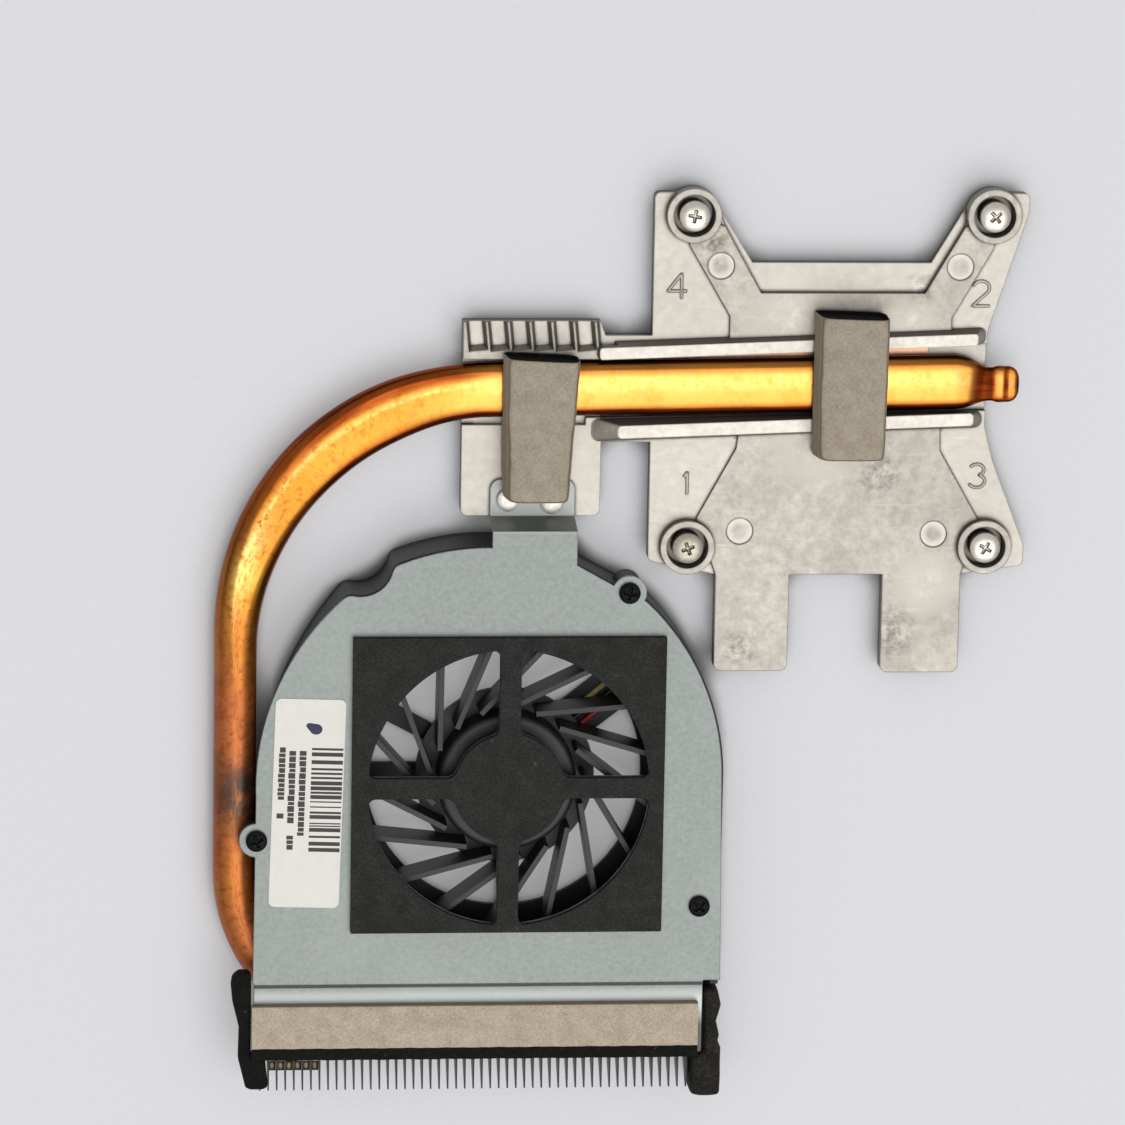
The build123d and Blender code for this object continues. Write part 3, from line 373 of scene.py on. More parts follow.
# %% Open foam
def foamed(name, dark, light, pore):
    """Matt open foam: a cell pattern as wide as one pore darkens and dents the surface, and a
    noise above 0.66 leaves grey crumbs of dust on it."""
    material, tree = start(name)
    place = add(tree, "TexCoord", out="Object")
    cells = add(tree, "TexVoronoi", {"Vector": place, "Scale": per_mm(pore)})
    dust = add(tree, "TexNoise", {"Vector": place, "Scale": per_mm(3.0), "Detail": 5.0})
    both = add(tree, "Math", {0: cells, 1: dust}, operation="MULTIPLY")
    share = add(tree, "MapRange", {"Value": both, "From Min": 0.05, "From Max": 0.45})
    skin = add(tree, "Mix", {0: share, 6: hex_linear(dark), 7: hex_linear(light)}, 2, data_type="RGBA")
    crumb = add(tree, "TexNoise", {"Vector": place, "Scale": per_mm(2.2), "Detail": 4.0, "Roughness": 0.8})
    crumb = add(tree, "MapRange", {"Value": crumb, "From Min": 0.66, "From Max": 0.76, "To Max": 0.5})
    skin = add(tree, "Mix", {0: crumb, 6: skin, 7: hex_linear("#77756F")}, 2, data_type="RGBA")
    relief = add(tree, "Bump", {"Strength": 0.6, "Distance": 0.12 * MM, "Height": cells})
    surface = {"Base Color": skin, "Roughness": 0.9, "Specular IOR Level": 0.25, "Normal": relief}
    add(tree, "OutputMaterial", {"Surface": add(tree, "BsdfPrincipled", surface)})
    return material


black_foam = foamed("black_polyurethane_foam", "#050504", "#181715", 0.35)
dusty_foam = foamed("dusty_polyurethane_foam", "#12110F", "#35322D", 0.35)
charcoal_foam = foamed("charcoal_die_cut_foam", "#222221", "#383836", 0.3)
print("foams:", black_foam.name, dusty_foam.name, charcoal_foam.name)

# %% [markdown]
# Every new piece below is a grid of points: rows run along it and columns run around it. One
# helper turns such an array into a mesh with a UV map that holds real lengths, so cloth keeps its
# thread count, and tells the frame which body the piece rides on.


# %% A grid of points becomes a piece
def placed(name, data):
    """A new object at the origin, shown in the scene."""
    thing = bpy.data.objects.new(name, data)
    bpy.context.scene.collection.objects.link(thing)
    return thing


def grid_piece(name, grid, materials, body, caps=True, sharp=50, face_slots=None):
    """Mesh from points in mm: face (i, j) joins rows i, i + 1 and columns j, j + 1, and the last
    column joins the first. caps closes both end rows with one face each.
    The UVs are lengths: u along the mean line of the rows, v around the middle row."""
    rows, cols = grid.shape[:2]
    i, j = np.meshgrid(np.arange(rows - 1), np.arange(cols), indexing="ij")
    i, j = i.ravel(), j.ravel()
    k = (j + 1) % cols
    faces = np.stack([i * cols + j, (i + 1) * cols + j, (i + 1) * cols + k, i * cols + k], axis=1).tolist()
    line = grid.mean(axis=1)
    along = np.concatenate([[0], np.cumsum(np.linalg.norm(np.diff(line, axis=0), axis=1))])
    middle = grid[rows // 2]
    ring = np.linalg.norm(np.roll(middle, -1, axis=0) - middle, axis=1)
    around = np.concatenate([[0], np.cumsum(ring)])
    u = np.stack([along[i], along[i + 1], along[i + 1], along[i]], axis=1)
    v = np.stack([around[j], around[j], around[j + 1], around[j + 1]], axis=1)
    uv = np.stack([u, v], axis=-1).reshape(-1, 2)
    if caps:
        last = (rows - 1) * cols
        faces += [list(range(cols)), list(range(last + cols - 1, last - 1, -1))]
        uv = np.concatenate([uv, np.zeros((2 * cols, 2))])
    mesh = bpy.data.meshes.new(name)
    mesh.from_pydata((grid.reshape(-1, 3) * MM).tolist(), [], faces)
    mesh.uv_layers.new(name="lengths").data.foreach_set("uv", (uv * MM).ravel())
    for material in materials:
        mesh.materials.append(material)
    if face_slots is not None:
        mesh.polygons.foreach_set("material_index", np.asarray(face_slots, np.int32).ravel())
    mesh.polygons.foreach_set("use_smooth", np.ones(len(mesh.polygons), bool))
    mesh.set_sharp_from_angle(angle=math.radians(sharp))
    piece = placed(name, mesh)
    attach(piece, body)
    print("made", name, "with", len(faces), "faces")
    return piece


# %% [markdown]
# The heat pipe starts as a 6 mm copper tube. It is pressed flat over the processor, pinched shut
# at its tip, bent by hand-sized radii and left round in the fins. So its section is a slot shape
# whose width and height change along the way. Its line is worked out first: straight, arc,
# straight, arc, straight.

# %% The line of the pipe
PIPE_Y, FLAT_Z, ROUND_Z = -0.35, 5.1, 5.0
SLOPE = math.radians(1.0)
BEND_X, BEND_R = -51.9, 38.5
TURN_C, TURN_R = (-65.4, -75.0), 25.0
TIP_BENT, TIP_EASE, FLAT_EAST = 21.6, 4.0, 17.0
PIPE_END, END_ROUND = -24.0, 1.2
FLAT_N, BEND_N, RUN_N, TURN_N, END_N = 60, 64, 30, 40, 30
bend_start = BEND_X - BEND_R * math.sin(SLOPE)
BEND_Y = PIPE_Y + bend_start * math.tan(SLOPE) - BEND_R * math.cos(SLOPE)

# The pinched tip, from its end: place along X, width, height
tip_rows = [(27.2, 1.2, 0.3), (27.1, 2.8, 0.7), (26.8, 4.2, 1.0), (26.3, 5.1, 1.15), (25.7, 5.5, 1.2)]
tip_rows += [(25.2, 5.5, 1.2), (24.9, 5.55, 1.4), (24.5, 5.6, 1.6), (24.1, 5.6, 1.6), (23.7, 5.5, 1.4)]
tip_rows += [(23.3, 5.2, 1.25), (23.0, 5.1, 1.2), (22.4, 5.15, 1.25), (21.8, 5.4, 1.4), (21.3, 5.8, 1.65)]
tip_rows += [(20.8, 6.3, 2.0), (20.3, 6.8, 2.35), (19.8, 7.25, 2.65), (19.2, 7.7, 2.85), (18.5, 8.05, 2.97)]
tip_rows += [(17.6, 8.3, 3.0)]
tip_x, tip_w, tip_h = np.array(tip_rows).T
TIP = len(tip_rows)
print("tip sections:", TIP)

# %% Stations along the line
flat_x = np.linspace(FLAT_EAST, bend_start, FLAT_N, endpoint=False)
bend_a = np.radians(np.linspace(91, 180, BEND_N, endpoint=False))
run_y = np.linspace(BEND_Y, TURN_C[1], RUN_N, endpoint=False)
turn_a = np.radians(np.linspace(180, 270, TURN_N, endpoint=False))
end_x = np.linspace(TURN_C[0], PIPE_END - END_ROUND, END_N)
round_off = PIPE_END - END_ROUND + np.array([0.5, 0.9, 1.15, END_ROUND])
tip_slope = math.tan(SLOPE) * np.clip((TIP_BENT - tip_x) / TIP_EASE, 0, 1)
bend_x, run_x = BEND_X + BEND_R * np.cos(bend_a), np.full(RUN_N, BEND_X - BEND_R)
turn_x, turn_y = TURN_C[0] + TURN_R * np.cos(turn_a), TURN_C[1] + TURN_R * np.sin(turn_a)
line_x = np.concatenate([tip_x, flat_x, bend_x, run_x, turn_x, end_x, round_off])
line_y = np.concatenate(
    [
        PIPE_Y + tip_x * tip_slope,
        PIPE_Y + flat_x * math.tan(SLOPE),
        BEND_Y + BEND_R * np.sin(bend_a),
        run_y,
        turn_y,
        np.full(END_N + len(round_off), TURN_C[1] - TURN_R),
    ]
)
AFTER_BEND = RUN_N + TURN_N + END_N + len(round_off)
turned = np.concatenate([np.zeros(TIP + FLAT_N), np.degrees(bend_a) - 90, np.full(AFTER_BEND, 90.0)])
print("pipe stations:", len(line_x))

# %% [markdown]
# The section's width, height and level are given at six angles of the bend and eased in between.

# %% The pipe's changing section
stations = np.array([0, 9, 24, 45, 68, 90])
window = np.hanning(13) / np.hanning(13).sum()


def eased(values):
    """Station values along the bend, joined by straight lines and then smoothed by a window."""
    raw = np.interp(turned, stations, values)
    padded = np.concatenate([np.full(6, raw[0]), raw, np.full(6, raw[-1])])
    return np.convolve(padded, window, mode="valid")


width = eased([8.3, 8.3, 9.2, 9.0, 7.9, 6.4])
tall = eased([3.0, 3.0, 3.2, 3.9, 5.1, 6.1])
level = eased([FLAT_Z, FLAT_Z, FLAT_Z + 0.1, FLAT_Z + 0.1, ROUND_Z, ROUND_Z])
width[:TIP], tall[:TIP] = tip_w, tip_h
shrink = np.array([0.9, 0.7, 0.4, 0.15])
width[-len(shrink) :] *= shrink
tall[-len(shrink) :] *= shrink


def slot_sections(x, y, z, w, h):
    """Slot shapes along a level line. Around the angle a, a point lies across by
    (w - h) / 2 * limit(cos a / sin 6 deg) + h / 2 * cos a and up by h / 2 * sin a."""
    east, top, west = np.linspace(-84, 84, 21), np.linspace(85, 95, 11), np.linspace(96, 264, 21)
    a = np.radians(np.concatenate([east, top, west, [267, 270, 273]]))
    line = np.stack([x, y], axis=1)
    ahead = np.gradient(line, axis=0)
    ahead /= np.linalg.norm(ahead, axis=1, keepdims=True)
    side = np.stack([ahead[:, 1], -ahead[:, 0]], axis=1)
    spread = np.clip(np.cos(a) / math.sin(math.radians(6)), -1, 1)
    low = np.minimum(w, h)[:, None]
    across = (w[:, None] - low) / 2 * spread + low / 2 * np.cos(a)
    plan = line[:, None, :] + across[..., None] * side[:, None, :]
    up = z[:, None] + h[:, None] / 2 * np.sin(a)
    return np.concatenate([plan, up[..., None]], axis=-1), across / (w[:, None] / 2)


pipe_grid, across = slot_sections(line_x, line_y, level, width, tall)
print("pipe's widest section:", width.max().round(2), "mm")

# %% [markdown]
# Lacquered copper has two looks here. On the flat run it is a mottled gold; the flat top mirrors the
# lamp and carries a painted highlight, while the round flanks are painted down to red-brown streaks
# and near black at their edges as painted shade. Past the bend the lacquer is browner, redder and
# duller, with stains and a sooty patch beside the fan. Three numbers stored on each point steer that:
# patina, 0 for bright and 1 for brown; flank_shade, the painted shade, 0 on the top, 1 on the sides
# and 2 in the darkest creases; and painted_highlight, 1 where the top mirrors the lamp.

# %% Lacquered copper: noises and shares
SOOT = (-88.5 * MM, -62.8 * MM, 7.2 * MM)
copper, tree = start("lacquered_copper")
lengths = add(tree, "UVMap", uv_map="lengths")
age = add(tree, "Attribute", out="Fac", attribute_name="patina")
flank_shade = add(tree, "Attribute", out="Fac", attribute_name="flank_shade")
painted_highlight = add(tree, "Attribute", out="Fac", attribute_name="painted_highlight")
drawn = add(tree, "Mapping", {"Vector": lengths, "Scale": (0.12, 1.0, 1.0)})
streak = add(tree, "TexNoise", {"Vector": drawn, "Scale": per_mm(1.6), "Detail": 5.0, "Roughness": 0.65})
cloud = add(tree, "TexNoise", {"Vector": lengths, "Scale": per_mm(9.0), "Detail": 3.0})
speck = add(tree, "TexNoise", {"Vector": lengths, "Scale": per_mm(1.2), "Detail": 6.0, "Roughness": 0.75})
blotch = add(tree, "TexNoise", {"Vector": lengths, "Scale": per_mm(3.6), "Detail": 5.0, "Roughness": 0.7})
pale = add(tree, "MapRange", {"Value": blotch, "From Min": 0.3, "From Max": 0.52})
tone = add(tree, "Mix", {0: pale, 6: hex_linear("#C8963C"), 7: hex_linear("#DCA850")}, 2, data_type="RGBA")
amber = add(tree, "MapRange", {"Value": age, "From Max": 0.2})
spots = add(tree, "Math", {0: streak, 1: cloud}, operation="MULTIPLY")
spots = {"Value": spots, "From Min": 0.15, "From Max": 0.4, "To Min": 0.55, "To Max": 1.0}
brown = add(tree, "Math", {0: age, 1: add(tree, "MapRange", spots)}, operation="MULTIPLY")
stain = add(tree, "MapRange", {"Value": blotch, "From Min": 0.48, "From Max": 0.64, "To Max": 0.6})
stain = add(tree, "Math", {0: stain, 1: brown}, operation="MULTIPLY")
dark_speck = add(tree, "MapRange", {"Value": speck, "From Min": 0.5, "From Max": 0.68, "To Max": 0.75})
dark_speck = add(tree, "Math", {0: dark_speck, 1: amber}, operation="MULTIPLY")
# The painted highlight is broken up by a speck noise.
highlight_breakup = add(tree, "MapRange", {"Value": speck, "From Min": 0.62, "From Max": 0.4})
painted_highlight = add(tree, "Math", {0: painted_highlight, 1: highlight_breakup}, operation="MULTIPLY")
place = add(tree, "TexCoord", out="Object")
away = add(tree, "VectorMath", {0: place, 1: SOOT}, "Value", operation="DISTANCE")
soot = add(tree, "MapRange", {"Value": away, "From Min": 8.5 * MM, "From Max": 2.5 * MM})
soot = add(tree, "Math", {0: soot, 1: pale}, operation="MULTIPLY")
print("soot at", np.round(SOOT, 4))

# %% Lacquered copper: coats, painted highlight and painted shade on the flanks
coats = [(amber, "#C48828"), (brown, "#D06C3E"), (stain, "#7A3C20")]
coats += [(dark_speck, "#6E3A0E"), (painted_highlight, "#EECB7E"), (soot, "#57463B")]
for share, colour in coats:
    tone = add(tree, "Mix", {0: share, 6: tone, 7: hex_linear(colour)}, 2, data_type="RGBA")
# Painted shade: the flanks mix to red-brown streaks, and flank_shade above 1 goes to near black.
lines = add(tree, "MapRange", {"Value": streak, "From Min": 0.4, "From Max": 0.65})
side = add(tree, "Mix", {0: lines, 6: hex_linear("#6C240A"), 7: hex_linear("#A04A1A")}, 2, data_type="RGBA")
tone = add(tree, "Mix", {0: flank_shade, 6: tone, 7: side}, 2, data_type="RGBA")
edge = add(tree, "MapRange", {"Value": flank_shade, "From Min": 1.0, "From Max": 2.0})
tone = add(tree, "Mix", {0: edge, 6: tone, 7: hex_linear("#160602")}, 2, data_type="RGBA")
gloss = add(tree, "MapRange", {"Value": brown, "To Min": 0.24, "To Max": 0.5})
metal = add(tree, "MapRange", {"Value": brown, "To Min": 1.0, "To Max": 0.5})
grain = add(tree, "Bump", {"Strength": 0.1, "Distance": 0.04 * MM, "Height": streak})
surface = {"Base Color": tone, "Metallic": metal, "Roughness": gloss, "Normal": grain}
add(tree, "OutputMaterial", {"Surface": add(tree, "BsdfPrincipled", surface)})
print("coats on the pipe:", len(coats))

# %% [markdown]
# The three numbers follow from where a point lies: how far around the bend, how far across the
# section (1 on the outer side, -1 on the inner one) and how far along the pinched tip.

# %% The pipe and its three numbers
pipe = grid_piece("heat_pipe_tube", pipe_grid, [copper], "frame")
# flank_shade is painted shade across the section: outer and inner set where it starts on each side;
roundness = np.clip((turned - 40) / 50, 0, 1)[:, None]
# painted_glint lightens a line on the outer flank, painted_crease_shade darkens the outermost edges.
bend_share = np.interp(turned, [0, 6, 65, 85], [0, 1, 1, 0])[:, None]
flat_share = np.clip(1 - turned / 8, 0, 1)[:, None]
outer = (across - 0.44 + 0.12 * bend_share - 0.08 * roundness) / (0.2 + 0.2 * roundness)
inner = (-across - 0.5 - 0.2 * roundness) / (0.26 + 0.04 * roundness)
inner = np.maximum(inner, 0.16 * flat_share * np.clip((0.1 - across) / 0.5, 0, 1))
flank_shade = np.clip(np.where(across > 0, (0.95 - 0.25 * flat_share) * np.clip(outer, 0, 1), inner), 0, 1)
steep = np.abs(pipe_grid[..., 2] - level[:, None]) / (tall[:, None] / 2)
painted_glint = np.exp(-(((steep - 0.8) / 0.05) ** 2)) * (across > 0)
painted_crease_shade = np.where(across > 0, 0.25, 0.6) * (1 - roundness) * np.clip((np.abs(across) - 0.86) / 0.1, 0, 1)
flank_shade = flank_shade * (1 - 0.35 * painted_glint) * (1 - 0.4 * roundness) + painted_crease_shade
# The pinched tip is painted dark in its folds and at its end and lighter on its ridges: partly its own
NECK_X = [16.0, 19.5, 22.6, 23.1, 23.5, 24.8, 25.1, 25.5, 26.6, 27.2]
# darkened metal, partly painted shade.
neck = np.interp(line_x, NECK_X, [0, 0.5, 1.75, 1.7, 0.4, 0.3, 1.8, 0.5, 0.6, 1.6])
neck = np.where(np.arange(len(line_x)) < TIP + 10, neck, 0)[:, None]
# Painted highlight: a line along the bend, a band on the flat top and a patch near 72 degrees.
painted_highlight = 0.8 * bend_share * np.exp(-(((across - 0.26) / 0.06) ** 2))
painted_highlight = painted_highlight + 0.6 * flat_share * np.exp(-(((across - 0.15) / 0.3) ** 2))
painted_highlight = painted_highlight + np.exp(-(((turned[:, None] - 72) / 9) ** 2) - ((across - 0.2) / 0.4) ** 2)
painted_highlight = np.where(pipe_grid[..., 2] > level[:, None], painted_highlight, 0)
patina = 0.15 * np.clip((turned - 4) / 16, 0, 1) + 0.55 * np.clip((turned - 45) / 45, 0, 1)
patina = patina + 0.3 * np.clip((-39 - line_y) / 9, 0, 1) - 0.4 * np.exp(-(((turned - 75) / 8) ** 2))
numbers = {"patina": patina[:, None] + 0 * flank_shade, "flank_shade": np.maximum(flank_shade, neck), "painted_highlight": painted_highlight}
for name, value in numbers.items():
    layer = pipe.data.attributes.new(name, "FLOAT", "POINT")
    layer.data.foreach_set("value", value.astype(np.float32).ravel())
    print(name, "from", value.min().round(2), "to", value.max().round(2))
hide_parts("heat_pipe")

# %% [markdown]
# The two foam strips press on the laptop's case. A strip is a soft bar: a rounded box whose top is
# crowned and whose west side flares at the foot, where the foam is squeezed. A superellipse gives
# that section with one formula. The tape covers the top and sides, and the cut north end, which
# is slanted, shows black foam set back a little inside the tape.


# %% Soft bars with a superellipse section
def soft_bar(length, west, east, low, high, power=5.0, points=72):
    """Sections across a bar. With c = cos a and s = sin a, a point lies at the middle plus half the
    width times sign(c)|c|^(2/p), and at mid height plus half the height times sign(s)|s|^(2/p)."""
    a = np.linspace(0, 2 * np.pi, points, endpoint=False) + np.pi / points
    c, s = np.cos(a), np.sin(a)
    bend = 2 / power
    across = np.sign(c) * np.abs(c) ** bend
    rise = np.sign(s) * np.abs(s) ** bend
    x = ((west + east) / 2)[:, None] + ((east - west) / 2)[:, None] * across
    z = ((low + high) / 2)[:, None] + ((high - low) / 2)[:, None] * rise
    y = np.repeat(length[:, None], points, axis=1)
    return np.stack([x, y, z], axis=-1)


# %% A strip of foam in its tape
STRIP_TOP, CROWN, BULGE = 11.55, 0.2, 0.12


def strip(name, plan, under, flare, slant, swaps):
    """A taped foam strip from its plan (west, east, y at each end) and the levels it rests on as
    (y, z) pairs. West points move out by flare times the square of their depth below the top. Near
    the north end points move south by slant times their share of the width, and north by 0.3 mm
    times their depth; a slow sine of place makes the faces a little uneven."""
    (nw, ne, yn), (sw, se, ys) = plan
    t = np.concatenate([[0.0, 0.0, 0.0, 0.006], np.linspace(0.02, 0.95, 60), [0.965, 0.98, 0.992, 1.0]])
    y = yn + (ys - yn) * t
    belly = np.sin(np.pi * t) ** 0.8
    west = nw + (sw - nw) * t - BULGE * belly
    east = ne + (se - ne) * t
    low = np.interp(-y, [-p[0] for p in under], [p[1] for p in under])
    high = STRIP_TOP + CROWN * belly
    tuck = np.zeros_like(t)
    tuck[-4:] = [0.05, 0.16, 0.4, 0.9]
    west, east = west + 0.9 * tuck, east - 0.4 * tuck
    high = high - 0.7 * tuck
    inset = np.zeros_like(y)
    inset[:3] = [0.35, 0.35, 0.12]
    y[0] -= 0.5
    west, east, low, high = west + inset, east - inset, low + inset, high - inset
    grid = soft_bar(y, west, east, low, high)
    middle = (west + east)[:, None] / 2
    depth = (high[:, None] - grid[..., 2]) / (high - low)[:, None]
    grid[..., 0] -= np.where(grid[..., 0] < middle, flare * depth**2, 0)
    share = np.clip((grid[..., 0] - west[:, None]) / (east - west)[:, None], 0, 1)
    grid[..., 1] += (0.3 * depth - slant * share) * (1 - t)[:, None] ** 3
    uneven = np.sin(1.3 * grid[..., 1] + 2.1 * grid[..., 0]) * np.sin(0.7 * grid[..., 1] - 1.1 * grid[..., 2])
    grid[..., 0] += 0.045 * uneven * np.sin(np.pi * t)[:, None]
    grid[..., 2] -= 0.05 * (1 + uneven) * (depth < 0.5) * np.sin(np.pi * t)[:, None]
    cut_end = np.where(np.arange(len(y) - 1)[:, None] < 2, 1, 0) * np.ones(grid.shape[1], int)
    slots = np.concatenate([cut_end.ravel(), [1, 1]])
    finishes = [taupe_tape, black_foam]
    piece = grid_piece(name, grid, finishes, "frame", face_slots=slots, sharp=60)
    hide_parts(*swaps)


# %% The two strips
PIPE_REST, TAB_REST, FLANGE_REST, WEB_REST = 6.65, 4.8, 5.85, 5.2
left_under = [(5.2, FLANGE_REST), (3.9, FLANGE_REST), (3.3, PIPE_REST), (-5.6, PIPE_REST)]
left_under += [(-6.4, TAB_REST), (-13.8, TAB_REST), (-14.6, FLANGE_REST), (-17.2, FLANGE_REST)]
right_under = [(10.9, WEB_REST), (10.0, WEB_REST), (9.0, PIPE_REST), (-8.6, PIPE_REST)]
right_under += [(-9.6, WEB_REST), (-11.1, WEB_REST)]
left_plan = [(-50.5, -39.6, 4.3), (-50.3, -41.05, -17.45)]
right_plan = [(-3.75, 6.65, 10.6), (-3.75, 6.35, -11.1)]
left_nodes = ["left_strip_foam", "left_strip_fabric"]
right_nodes = ["right_strip_foam", "right_strip_fabric"]
strip("left_soft_strip", left_plan, left_under, flare=0.75, slant=0.5, swaps=left_nodes)
strip("right_soft_strip", right_plan, right_under, flare=0.85, slant=0.35, swaps=right_nodes)

# %% [markdown]
# The outlet gasket is the same kind of bar, long and low, with the beige tape on its top only, so
# a black edge of foam shows along the fins. The same section formula makes it, turned along X.

# %% Outlet gasket
GASKET_W, GASKET_L = -87.85, 67.75
GASKET_N, GASKET_S = 94.6, 103.1
GASKET_LOW, GASKET_TOP = 10.42, 12.3
GASKET_POINTS, TAPE_FROM, TAPE_TO = 144, 34, 80
span = np.concatenate([[0, 0.001], np.linspace(0.004, 0.996, 120), [0.999, 1]])
east_way = GASKET_W + GASKET_L * span
wave = 0.02 * np.sin(east_way * 0.9) + 0.02 * np.sin(east_way * 2.3 + 1.0)
north, foot = np.full_like(span, GASKET_N), np.full_like(span, GASKET_LOW)
bar = soft_bar(east_way, north, GASKET_S + wave, foot, GASKET_TOP + wave, 9.0, GASKET_POINTS)
gasket_grid = np.stack([bar[..., 1], -bar[..., 0], bar[..., 2]], axis=-1)
column = np.arange(GASKET_POINTS)
taped = (column >= TAPE_FROM) & (column < TAPE_TO)
slots = np.where(taped[None, :], 0, 1) * np.ones((len(span) - 1, 1), int)
slots = np.concatenate([slots.ravel(), [1, 1]])
finishes = [beige_tape, black_foam]
gasket = grid_piece(
    "outlet_gasket_bar", gasket_grid, finishes, "frame", face_slots=slots, sharp=60
)
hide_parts("outlet_gasket_foam", "outlet_gasket_fabric")

# %% [markdown]
# Scraps of black foam seal both ends of the fins. They were cut and pressed in by hand, so their
# edges wander. Each is a soft bar whose west and east edges follow a few measured points.


# %% End foams
def end_foam(name, edges, low, high, swap, foam):
    """A lumpy bar along Y from rows of (y, west, east), joined by straight lines, with rounded ends
    and a top that sinks by a slow cosine of place."""
    edges = np.array(edges)
    t = np.linspace(0, 1, 70)
    y = edges[0, 0] + (edges[-1, 0] - edges[0, 0]) * t
    west = np.interp(-y, -edges[:, 0], edges[:, 1])
    east = np.interp(-y, -edges[:, 0], edges[:, 2])
    ends = np.clip(np.minimum(t, 1 - t) / 0.03, 0, 1)
    ends = 0.75 + 0.25 * np.sqrt(1 - (1 - ends) ** 2)
    half = (east - west) / 2 * ends
    mid = (east + west) / 2
    top = low + (high - low) * (0.6 + 0.4 * ends) - 0.12 * (1 - np.cos(y * 1.7))
    grid = soft_bar(y, mid - half, mid + half, np.full_like(y, low), top, 4.0)
    piece = grid_piece(name, grid, [foam], "frame", sharp=70)
    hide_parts(swap)


left_edges = [(-89.6, -90.2, -88.0), (-90.3, -90.8, -87.9), (-91.5, -91.0, -87.9)]
left_edges += [(-94.1, -90.75, -87.9), (-96.7, -90.1, -87.9), (-98.3, -89.75, -87.9)]
left_edges += [(-102.2, -89.85, -87.9), (-102.9, -89.85, -87.3), (-103.3, -89.8, -85.7)]
left_edges += [(-104.5, -89.5, -85.6), (-106.9, -88.9, -85.3), (-107.8, -88.7, -85.4)]
right_edges = [(-92.9, -19.15, -16.9), (-95.4, -19.15, -16.3), (-98.0, -19.15, -17.0)]
right_edges += [(-100.2, -19.15, -16.5), (-101.8, -19.15, -16.8), (-102.4, -19.15, -16.2)]
right_edges += [(-103.5, -20.9, -16.2), (-106.5, -21.0, -16.15), (-109.7, -20.8, -16.2)]
LEFT_LEVELS, RIGHT_LEVELS = (8.7, 11.6), (3.1, 11.4)
end_foam("left_end_soft_foam", left_edges, *LEFT_LEVELS, "left_end_foam", black_foam)
end_foam("right_end_soft_foam", right_edges, *RIGHT_LEVELS, "right_end_foam", dusty_foam)

# %% [markdown]
# The pad around the intake is stamped from a sheet of charcoal foam, so its outline is crisp in
# plan while its edges are pressed round. The solid already has the outline. A copy of its mesh is
# welded, the eight corners where a spoke meets the rim are rounded as a stamping die leaves them,
# and a bevel rounds every edge of the sheet.

# %% Stamped intake pad
FAN = np.array([-49.4, -60.9])
HALF_SPOKE, RIM_FROM, RIM_TO = 1.65, 21.0, 21.5
DIE_R, PRESSED_R = 1.3, 0.3
pad_mesh = nodes["intake_pad"].data.copy()
pad_mesh.name = "intake_soft_pad"
welded = bmesh.new()
welded.from_mesh(pad_mesh)
bmesh.ops.remove_doubles(welded, verts=welded.verts, dist=0.005 * MM)
bmesh.ops.dissolve_limit(welded, angle_limit=math.radians(1), verts=welded.verts, edges=welded.edges)
upright = []
for edge in welded.edges:
    a, b = (v.co / MM for v in edge.verts)
    dx, dy = abs(a.x - FAN[0]), abs(a.y - FAN[1])
    at_rim = min(dx, dy) < HALF_SPOKE and math.hypot(dx, dy) > RIM_FROM and max(dx, dy) < RIM_TO
    if at_rim and abs(a.z - b.z) > 1.0:
        upright.append(edge)
bmesh.ops.bevel(welded, geom=upright, offset=DIE_R * MM, segments=6, profile=0.5, affect="EDGES")
welded.to_mesh(pad_mesh)
welded.free()
pad_mesh.materials.clear()
pad_mesh.materials.append(charcoal_foam)
pad = placed("intake_soft_pad", pad_mesh)
rounded = pad.modifiers.new("pressed_edge", "BEVEL")
rounded.width = PRESSED_R * MM
rounded.segments = 3
rounded.limit_method = "ANGLE"
rounded.angle_limit = math.radians(40)
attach(pad, "frame")
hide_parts("intake_pad")
print("pad corners:", len(pad_mesh.vertices), "rounded:", len(upright))

# %% [markdown]
# Four spring screws hold the cooler. Each is a nickel-plated pan head with a cross recess, a
# short rolled thread and a groove for its clip. A turned part is a profile spun about an axis, so
# the whole screw is one grid: rows follow the profile from the head's middle to the tip, and the
# recess and the thread are small changes to its height and radius.

# %% Screw finishes
# hollow_shade: painted shade, tinted brown, in the screws' cross recesses.
nickel = finish("nickel_plate", "#D6D1C7", 1.0, 0.3, hollow_shade="#77664F")
worn_nickel = finish("worn_nickel_plate", "#B4AD9E", 1.0, 0.36, hollow_shade="#5A4B3A")
black_oxide = finish("black_oxide_steel", "#1D1D1E", 1.0, 0.4)
print("screw finishes:", nickel.name, worn_nickel.name, black_oxide.name)

# %% Turned screws
AROUND, DOME_N, SHANK_N = 64, 26, 60
PITCH, THREAD = 0.45, 0.07


